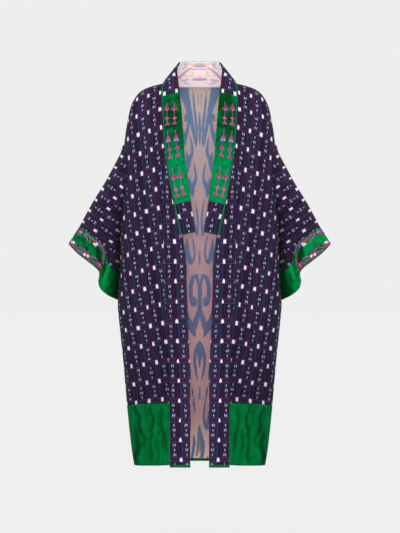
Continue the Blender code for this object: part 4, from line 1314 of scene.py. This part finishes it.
makeBack()
makeNeck()
for tag, side in sides.items():
    makeFronts(tag, side)
    makeBand(tag, side)
    makeSleeves(tag, side)
    makePiping(tag, side)
print("cloth pieces made:", len(robe))
for name, (width, length, area) in cutAreas.items():
    print("cut", name, round(width, 3), round(length, 3), round(area, 4))


# Silk embroidery and sewing threads.

silks = {colour: thread("silk floss, " + colour, shade) for colour, shade in (
    ("crimson", "#c01c5c"), ("magenta", "#cc2f92"), ("rose", "#d05fa6"), ("purple", "#8f45b0"),
    ("lilac", "#b39ad6"), ("white", "#efe6f6"), ("grey green", "#5f8a7c"), ("dark plum", "#4c2458"))}
for colour, shade, gloss in (("navy", "#2b2948", 0.02), ("green", "#005a2c", 0.02),
                             ("pale grey", "#8e8ba8", 0.05)):
    silks[colour] = thread("cotton sewing thread, " + colour, shade, 0.7, gloss)
embroidery = {
    "spacing": 0.80,           # millimetres from one satin stitch to the next
    "floss": 0.00046,          # radius of the floss
    "loft": 0.0009,            # how far a satin stitch stands off the velvet at its middle
    "lapelScale": 50.5,        # millimetres per unit across the band
    "cuffAround": 200.0,       # millimetres per unit of s and of t on the cuff
    "cuffAlong": 69.0,
}
stitching = {
    "pitch": 0.0058,
    "length": 0.0036,
    "radius": 0.00036,
    "armhole": 0.0012,         # radius of the cord that fills the armhole's seam
    "panelEdge": 0.0045,       # distance of a row from the seam of a front or a gore
    "openingEdge": 0.005,
    "hemRows": (0.004, 0.160),              # below the seam of the hem bands
    "hemAbove": 0.004,
    "cuffRows": (0.97, 1.045, 1.945),       # places t along the sleeve
    "lapelRows": (0.10, 0.965),             # shares across the band
    "bandRow": 0.975,
}


def nodeTree(name, inputs):                 # geometry tree with named inputs; gives the tree, its input node and the keys of its inputs
    tree = bpy.data.node_groups.new(name, "GeometryNodeTree")
    tree.interface.new_socket("Geometry", in_out="INPUT", socket_type="NodeSocketGeometry")
    keys = {}
    for label, kind in inputs:
        keys[label] = tree.interface.new_socket(label, in_out="INPUT", socket_type=kind).identifier
    tree.interface.new_socket("Geometry", in_out="OUTPUT", socket_type="NodeSocketGeometry")
    start = add(tree, "NodeGroupInput")
    return tree, start, keys


def endTree(tree, geometry, finish):        # one real mesh with its finish
    real = add(tree, "GeometryNodeRealizeInstances", {0: geometry})
    smoothed = add(tree, "GeometryNodeSetShadeSmooth", {"Geometry": real.outputs[0]})
    coated = add(tree, "GeometryNodeSetMaterial", {"Geometry": smoothed.outputs[0], "Material": finish})
    add(tree, "NodeGroupOutput", {0: coated.outputs[0]})


def flossTree():
    tree, start, keys = nodeTree("satin floss", (("Radius", "NodeSocketFloat"),
                                                 ("Finish", "NodeSocketMaterial")))
    curve = add(tree, "GeometryNodeMeshToCurve", {"Mesh": start.outputs["Geometry"]})
    ring = add(tree, "GeometryNodeCurvePrimitiveCircle",
               {"Resolution": 6, "Radius": start.outputs["Radius"]})
    strand = add(tree, "GeometryNodeCurveToMesh",
                 {"Curve": curve.outputs[0], "Profile Curve": ring.outputs[0], "Fill Caps": True})
    endTree(tree, strand.outputs[0], start.outputs["Finish"])
    return tree, keys


def runningTree():
    inputs = [(label, "NodeSocketFloat") for label in ("Pitch", "Length", "Radius")]
    tree, start, keys = nodeTree("running stitch", inputs + [("Finish", "NodeSocketMaterial")])
    curve = add(tree, "GeometryNodeMeshToCurve", {"Mesh": start.outputs["Geometry"]})
    places = add(tree, "GeometryNodeCurveToPoints",
                 {"Curve": curve.outputs[0], "Length": start.outputs["Pitch"]}, mode="LENGTH")
    ball = add(tree, "GeometryNodeMeshUVSphere", {"Segments": 6, "Rings": 4, "Radius": 1.0})
    half = calc(tree, "MULTIPLY", start.outputs["Length"], 0.5)
    radius = start.outputs["Radius"]
    size = add(tree, "ShaderNodeCombineXYZ", {0: radius, 1: radius, 2: half})
    turned = add(tree, "FunctionNodeAlignRotationToVector", {"Vector": places.outputs["Tangent"]}, axis="Z")
    laid = add(tree, "GeometryNodeInstanceOnPoints",
               {"Points": places.outputs["Points"], "Instance": ball.outputs["Mesh"],
                "Rotation": turned.outputs[0], "Scale": size.outputs[0]})
    endTree(tree, laid.outputs[0], start.outputs["Finish"])
    return tree, keys


flossNodes = flossTree()
runningNodes = runningTree()


def sewn(strands, nodes, settings):         # strands of points to a finished mesh
    tree, keys = nodes
    points = np.concatenate(strands)
    edges, start = [], 0
    for strand in strands:
        edges += [(start + k, start + k + 1) for k in range(len(strand) - 1)]
        start += len(strand)
    mesh = bpy.data.meshes.new("strands")
    mesh.from_pydata(points.tolist(), edges, [])
    holder = shown("strands", mesh)
    modifier = holder.modifiers.new("sewing", "NODES")
    modifier.node_group = tree
    for label, value in settings.items():
        modifier[keys[label]] = value
    result = bpy.data.meshes.new_from_object(holder.evaluated_get(bpy.context.evaluated_depsgraph_get()))
    bpy.data.objects.remove(holder)
    bpy.data.meshes.remove(mesh)
    return result


def joined(name, meshes):                   # several sewn meshes as one piece
    work = bmesh.new()
    mesh = bpy.data.meshes.new(name)
    for k, part in enumerate(meshes):
        before = len(work.faces)
        work.from_mesh(part)
        work.faces.ensure_lookup_table()
        for face in work.faces[before:]:
            face.material_index = k
            face.smooth = True
        mesh.materials.append([finish for finish in part.materials if finish][0])
    work.to_mesh(mesh)
    work.free()
    return shown(name, mesh)


def onBand(across, z, side, lift):          # places on the velvet patch, lifted off it
    def at(a, h):
        return bandPoint(frontTurn(xOf(neckLine, h), h), h, a, side)
    base = at(across, z)
    normal = unit(np.cross(at(across + 0.02, z) - base, at(across, z + 0.002) - base))
    normal = normal * np.where(normal[..., 1:2] > 0, -1.0, 1.0)
    height = cloth["band"] / 2 + cloth["gap"] + cloth["patch"]
    return base + normal * (height + np.asarray(lift))[..., None]


def onCuff(s, t, side, lift, thickness=None):
    base = sleevePoint(s, t, side)
    normal = unit(np.cross(sleevePoint(s + 0.01, t, side) - base, sleevePoint(s, t + 0.02, side) - base))
    flip = np.sum(normal * sleeveOutward(base, t, side), axis=-1, keepdims=True) < 0
    normal = np.where(flip, -normal, normal)
    height = (cloth["velvet"] if thickness is None else thickness) / 2
    return base + normal * (height + np.asarray(lift))[..., None]


# A stitch is (x0, y0, x1, y1) in millimetres. Rows give (y, left, right) down a shape.
def satinRows(x, y, rows, scale=1.0):
    rows = sorted(rows)
    level = np.array([r[0] for r in rows]) * scale
    left, right = np.array([r[1] for r in rows]) * scale, np.array([r[2] for r in rows]) * scale
    heights = np.arange(level[0], level[-1] + 0.01, embroidery["spacing"])
    return [(x + np.interp(h, level, left), y + h, x + np.interp(h, level, right), y + h + 0.3)
            for h in heights]


def satinFan(x, y, inner, outer, start, end):
    count = int(math.radians(end - start) * (inner + outer) / 2 / embroidery["spacing"]) + 2
    angles = np.radians(np.linspace(start, end, count))
    return [(x + inner * math.cos(a), y + inner * math.sin(a), x + outer * math.cos(a),
             y + outer * math.sin(a)) for a in angles]


def satinPetal(x, y, angle, start, length, width):
    run, over = np.array([math.cos(angle), math.sin(angle)]), np.array([-math.sin(angle), math.cos(angle)])
    made = []
    for f in np.arange(0.0, 1.0001, embroidery["spacing"] / length):
        half = width / 2 * math.sqrt(max(0.0, 1 - (1.7 * f - 0.95) ** 2)) + 0.3
        middle = np.array([x, y]) + run * (start + f * length)
        made.append((*(middle - over * half), *(middle + over * half + run * 0.4)))
    return made


def satinPath(places, width, part=(-0.5, 0.5)):     # short stitches across part of a smooth path's width
    places = np.array(places, float)
    walk = np.concatenate(([0], np.cumsum(np.linalg.norm(np.diff(places, axis=0), axis=1))))
    fine = np.linspace(0, walk[-1], max(4, int(walk[-1] / embroidery["spacing"])))
    rows = {"s": walk, "x": places[:, 0], "y": places[:, 1]}
    x, y = smooth(rows, "s", "x", fine), smooth(rows, "s", "y", fine)
    run = unit(np.gradient(stack(x, y, 0)[:, :2], axis=0))
    over = np.stack((-run[:, 1], run[:, 0]), axis=1) * width
    a, b = part
    return [(x[k] + over[k, 0] * a, y[k] + over[k, 1] * a, x[k] + over[k, 0] * b + run[k, 0] * 0.5,
             y[k] + over[k, 1] * b + run[k, 1] * 0.5) for k in range(len(fine))]


bud = ((5.0, -0.4, 0.4), (2.0, -0.9, 0.9), (0.8, -2.9, 2.9), (-0.4, -2.7, 2.7), (-1.6, -0.9, 0.9),
       (-3.5, -0.4, 0.4))
wideDiamond = ((4.5, -0.5, 0.5), (2.2, -2.0, 2.0), (0.3, -6.0, 6.0), (-0.8, -6.0, 6.0), (-2.4, -2.8, 2.8),
               (-4.8, -0.6, 0.6))
tallDiamond = ((8.0, -0.4, 0.4), (3.5, -1.8, 1.8), (0.8, -5.6, 5.6), (-0.8, -5.6, 5.6), (-3.0, -3.6, 3.6),
               (-6.0, -0.8, 0.8))
foot = ((4.6, -0.6, 0.6), (1.4, -3.6, 3.6), (-1.6, -6.4, 6.2), (-3.6, -6.6, 6.0), (-4.2, -5.8, 3.0))
tulip = ((9.0, -0.4, 0.4), (5.0, -2.4, 2.4), (1.6, -4.8, 4.8), (-0.4, -6.2, 6.2), (-1.8, -5.4, 5.4),
         (-3.0, -2.6, 2.6))
groups = (                     # across and height of bud, flower, diamond and foot; flower kind
    ("arch", (0.29, -0.0735), (0.26, -0.0856), (0.235, -0.1126), (0.235, -0.1286)),
    ("arch", (0.70, -0.0755), (0.67, -0.0890), (0.65, -0.1150), (0.63, -0.1286)),
    ("tulip", (0.22, -0.1537), (0.23, -0.1720), (0.25, -0.2040), (0.24, -0.2240)),
    ("tulip", (0.65, -0.1527), (0.66, -0.1715), (0.67, -0.2020), (0.68, -0.2215)),
    ("arch", (0.24, -0.2615), (0.25, -0.2840), (0.26, -0.3170), (0.28, -0.3350)),
    ("arch", (0.63, -0.2595), (0.635, -0.2840), (0.63, -0.3155), (0.66, -0.3330)),
)


def lapelSilks():                           # floss colour to stitches on the band chart
    chart = {key: [] for key in ("crimson", "magenta", "rose", "purple", "lilac")}
    across = embroidery["lapelScale"]
    for kind, top, flower, diamond, low in groups:
        at = [(a * across, z * 1000) for a, z in (top, flower, diamond, low)]
        (bx, by), (fx, fy), (dx, dy), (lx, ly) = at
        chart["purple"] += satinRows(bx, by, bud)
        for x0, y0, x1, y1 in ((bx, by - 2, fx, fy + 6), (fx, fy - 5, dx, dy + 4), (dx, dy - 4, lx, ly + 4)):
            for shift in (-0.35, 0.35):
                chart["purple" if y0 > dy else "rose"].append((x0 + shift, y0, x1 + shift, y1))
        if kind == "arch":
            chart["crimson"] += satinFan(fx, fy - 1.0, 2.9, 8.0, -22, 84)
            chart["magenta"] += satinFan(fx, fy - 1.0, 2.9, 7.6, 90, 202)
            chart["crimson"] += satinRows(fx, fy + 5.0, ((5.0, -0.5, 0.5), (2.5, -1.5, 1.5), (0, -3.0, 3.0)))
            chart["lilac"] += satinRows(fx, fy - 2.4, ((2.6, -0.9, 0.9), (0, -1.9, 1.9), (-2.8, -1.2, 1.2)))
        else:
            chart["magenta"] += satinRows(fx, fy, tulip)
            chart["lilac"] += satinPetal(fx - 0.8, fy - 2.5, math.radians(235), 0.0, 8.0, 4.2)
            chart["lilac"] += satinPetal(fx + 0.8, fy - 2.5, math.radians(305), 0.0, 8.0, 4.2)
        shape = wideDiamond if top[1] > -0.1 else tallDiamond
        chart["magenta" if kind == "tulip" else "rose"] += satinRows(dx, dy, shape)
        chart["crimson"] += satinRows(dx, dy + 0.8, ((1.2, -0.8, 0.8), (-1.2, -0.8, 0.8)))
        chart["magenta"] += satinRows(lx, ly, foot)
    return chart


cuffFlowers = (                # s, t, size, turn, petal colours and heart
    (0.090, 1.20, 1.05, 20, ("purple", "crimson", "purple", "magenta", "lilac"), "dark plum"),
    (0.410, 1.17, 1.00, 60, ("white", "white", "crimson", "purple", "white"), "crimson"),
    (0.078, 1.83, 1.00, 200, ("white", "white", "crimson", "magenta", "purple"), "crimson"),
    (0.320, 1.81, 1.15, 150, ("white", "crimson", "purple", "white", "crimson"), "crimson"),
    (0.560, 1.80, 0.95, 100, ("magenta", "crimson", "purple", "lilac", "magenta"), "crimson"),
)
cuffVines = (                  # width in millimetres, the two outlines' colours, then places (s, t)
    (4.8, "purple", "magenta", (0.165, 1.10), (0.235, 1.08), (0.280, 1.12), (0.300, 1.20), (0.305, 1.34)),
    (3.8, "dark plum", "lilac", (0.175, 1.20), (0.225, 1.22), (0.262, 1.30)),
    (3.6, "purple", "rose", (0.312, 1.12), (0.340, 1.09), (0.368, 1.13)),
    (4.6, "purple", "magenta", (0.440, 1.10), (0.510, 1.08), (0.565, 1.06), (0.592, 1.12), (0.598, 1.22)),
    (3.8, "dark plum", "purple", (0.480, 1.15), (0.540, 1.20), (0.580, 1.21)),
    (6.5, "magenta", "magenta", (0.596, 1.26), (0.618, 1.34), (0.628, 1.46), (0.630, 1.56)),
    (4.6, "purple", "dark plum", (0.130, 1.86), (0.180, 1.74), (0.225, 1.68), (0.268, 1.64), (0.272, 1.76)),
    (4.2, "purple", "magenta", (0.155, 1.93), (0.200, 1.88), (0.235, 1.84), (0.268, 1.88)),
    (4.6, "dark plum", "magenta", (0.375, 1.84), (0.425, 1.75), (0.480, 1.72), (0.520, 1.68)),
    (4.4, "dark plum", "purple", (0.395, 1.92), (0.465, 1.88), (0.520, 1.87)),
    (4.6, "magenta", "crimson", (0.612, 1.70), (0.636, 1.74), (0.640, 1.84), (0.645, 1.94)),
)


def cuffSilks():
    chart = {key: [] for key in ("crimson", "magenta", "rose", "purple", "lilac", "white", "grey green",
                                 "dark plum")}
    around, along = embroidery["cuffAround"], embroidery["cuffAlong"]
    for s, t, size, turn, petals, heart in cuffFlowers:
        x, y = s * around, t * along
        for k, colour in enumerate(petals):
            angle = math.radians(turn + 72 * k)
            chart[colour] += satinPetal(x, y, angle, 1.6 * size, 6.4 * size, 6.6 * size)
        chart[heart] += satinRows(x, y, ((2.6, -1.0, 1.0), (0, -2.6, 2.6), (-2.6, -1.0, 1.0)), size)
    for width, upper, lower, *places in cuffVines:
        vine = [(s * around, t * along) for s, t in places]
        chart[upper] += satinPath(vine, width, (0.16, 0.5))
        chart[lower] += satinPath(vine, width, (-0.5, -0.16))
        chart["grey green"] += satinPath(vine, width, (-0.10, 0.10))[::2]
    edge = [(s * around, 1.968 * along) for s in np.linspace(0.02, 0.60, 30)]
    chart["dark plum"] += satinPath(edge, 1.8)
    chart["magenta"] += satinPath([(x, y - 1.4) for x, y in edge], 1.4)[::6]
    chart["purple"] += satinPath([(0.012 * around, t * along) for t in np.linspace(1.04, 1.96, 20)], 2.4)[::2]
    return chart


def flossStrands(chart, place):             # each satin stitch dips into the cloth at both ends
    share = np.array([0.0, 0.12, 0.5, 0.88, 1.0])
    height = np.array([-0.0004, 0.45, 1.0, 0.45, -0.0004])
    strands = []
    for x0, y0, x1, y1 in chart:
        length = math.hypot(x1 - x0, y1 - y0)
        loft = embroidery["loft"] * min(1.0, 0.35 + length / 9.0)
        lift = np.where(height > 0, height * loft, height)
        strands.append(place(x0 + (x1 - x0) * share, y0 + (y1 - y0) * share, lift))
    return strands


def embroider(name, chart, place):
    meshes = []
    for colour, stitches in chart.items():
        if stitches:
            settings = {"Radius": embroidery["floss"], "Finish": silks[colour]}
            meshes.append(sewn(flossStrands(stitches, place), flossNodes, settings))
    robe[name] = joined(name, meshes)


def running(strands, colour, scale=1.0):
    settings = {"Pitch": stitching["pitch"] * scale, "Length": stitching["length"] * scale,
                "Radius": stitching["radius"], "Finish": silks[colour]}
    return sewn(strands, runningNodes, settings)


def onBody(turn, z, side, thickness):
    points = bodyPoint(turn, z, side)
    out = unit(bodyOutward(points))
    return points + out * (thickness / 2 + 0.0001)


def besideLine(edge, away, top, low, count, side):  # down the front, a little away from an edge
    z = np.linspace(top, low, count)
    return onBody(frontTurn(edge(z) + away, z), z, side, cloth["shell"])


def seamStitches(tag, side):
    hem, goreHem = lines["hemSeam"], lines["goreHem"] + 0.003
    away, opening = stitching["panelEdge"], stitching["openingEdge"]
    navy = [besideLine(innerEdgeOfFront, away, -0.03, hem + 0.02, 260, side),
            besideLine(lambda z: xOf(goreLine, z), -away, goreLine["z"][0] - 0.02, goreHem, 240, side),
            besideLine(lambda z: xOf(openingLine, z), opening, lines["bandEnd"] - 0.01, goreHem, 200, side)]
    green = []
    share = np.linspace(0.01, 0.99, 120)
    acrossBack = np.linspace(math.pi / 2 + 0.02, math.pi - 0.005, 120)
    for down in stitching["hemRows"]:
        z = hem + lines["hemSeamRise"] * (1 - share) - down
        inner = frontTurn(xOf(goreLine, z) + 0.002, z)
        green.append(onBody(inner + (sideTurn(z, False) - inner) * share, z, side, cloth["velvet"]))
        green.append(onBody(acrossBack, np.full(120, hem - down), side, cloth["velvet"]))
    navy.append(onBody(acrossBack, np.full(120, hem + stitching["hemAbove"]), side, cloth["shell"]))
    s = np.linspace(0.0, 2.0, 260)
    above, below, edge = stitching["cuffRows"]
    navy.append(onCuff(s, np.full(260, above), side, 0.0, cloth["shell"]))
    green.append(onCuff(s, np.full(260, below), side, 0.0))
    green.append(onCuff(np.linspace(0.70, 1.96, 200), np.full(200, edge), side, 0.0))
    z = np.linspace(lines["lapelLow"] + 0.002, lines["lapelTop"] - 0.002, 160)
    green += [onBand(np.full(160, a), z, side, -0.0002) for a in stitching["lapelRows"]]
    plain = -cloth["gap"] - cloth["patch"]
    z = np.linspace(lines["bandEnd"] + 0.003, lines["lapelLow"] - 0.003, 60)
    grey = [onBand(np.full(60, stitching["bandRow"]), z, side, plain),
            onBand(np.linspace(0.12, 0.97, 30), np.full(30, lines["bandEnd"] + 0.0025), side, plain)]
    armhole = sleevePoint(np.linspace(0.0, 2.0, 300), 0.0, side)
    armhole = armhole - unit(bodyOutward(armhole)) * lines["sleeveLift"] / 2
    meshes = [running(navy, "navy"), running(green, "green", 0.8), running(grey, "pale grey", 1.1),
              sewn([armhole], flossNodes, {"Radius": stitching["armhole"], "Finish": silks["navy"]})]
    robe["seam_stitches_" + tag] = joined("seam_stitches_" + tag, meshes)


lapelChart, cuffChart = lapelSilks(), cuffSilks()
for tag, side in sides.items():
    embroider("lapel_embroidery_" + tag, lapelChart,
              lambda x, y, lift: onBand(x / embroidery["lapelScale"], y / 1000, side, lift))
    embroider("cuff_embroidery_" + tag, cuffChart,
              lambda x, y, lift: onCuff(x / embroidery["cuffAround"], y / embroidery["cuffAlong"],
                                        side, lift))
    seamStitches(tag, side)
print("embroidery and stitches sewn")


# Studio.

def setStudio():
    world = bpy.data.worlds.new("pale studio")
    world.use_nodes = True
    tree = world.node_tree
    axes = split(tree, add(tree, "ShaderNodeTexCoord").outputs["Generated"])
    high = ranged(tree, axes[1], -0.8, 0.8, studio["aboveFront"], studio["aboveBehind"])
    light = ranged(tree, axes[2], 0.20, 0.36, linear(studio["backdrop"])[0], high, soft=True)
    tree.links.new(light, tree.nodes["Background"].inputs["Strength"])
    tree.nodes["Background"].inputs["Color"].default_value = (1, 1, 1, 1)
    bpy.context.scene.world = world

    lamp = bpy.data.lights.new("front soft light", "AREA")
    lamp.shape, lamp.size, lamp.energy = "DISK", studio["lampSize"], studio["frontLamp"]
    holder = shown("front soft light", lamp)
    holder.location = studio["lampPlace"]
    holder.rotation_euler = (math.radians(studio["lampTilt"]), 0.0, 0.0)
    holder.visible_camera = False

    work = bmesh.new()
    bmesh.ops.create_circle(work, cap_ends=True, segments=96, radius=studio["floorRadius"])
    bmesh.ops.translate(work, verts=work.verts, vec=(0.0, 0.0, studio["floorHeight"]))
    mesh = bpy.data.meshes.new("floor")
    work.to_mesh(mesh)
    work.free()
    finish, tree, shader = newFinish("studio floor, matt pale grey", Roughness=1.0, Specular_IOR_Level=0.0)
    specks = noise(tree, onObject(tree), 3.0, 2.0)
    tone = ranged(tree, specks, toLow=studio["floorTone"] - 0.005, toHigh=studio["floorTone"] + 0.005)
    surfaced(tree, shader, tone)
    mesh.materials.append(finish)
    shown("floor", mesh)

    lens = bpy.data.cameras.new("camera")
    lens.lens, lens.sensor_width, lens.sensor_fit = studio["lens"], studio["sensor"], "AUTO"
    camera = shown("camera", lens)
    camera.location = studio["cameraPlace"]
    camera.rotation_euler = (math.radians(90), 0.0, 0.0)
    bpy.context.scene.camera = camera
    bpy.context.scene.view_settings.view_transform = "Standard"


setStudio()
print("studio set")


# Handing over.

# the table takes nothing shorter than 10 mm
leastSheet = {"length": 0.010, "areaLength": 0.0098}   # no cut piece is given less than 10 mm of length
cadNodes = set(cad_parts)
for name, thing in robe.items():
    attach(thing, "root")
    if name in cadNodes:
        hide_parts(name)
    if name in cutAreas:
        # only the gore bindings are raised to the least length: they show 6 mm
        width, length, area = cutAreas[name]
        length, area = max(length, leastSheet["length"]), max(area, width * leastSheet["areaLength"])
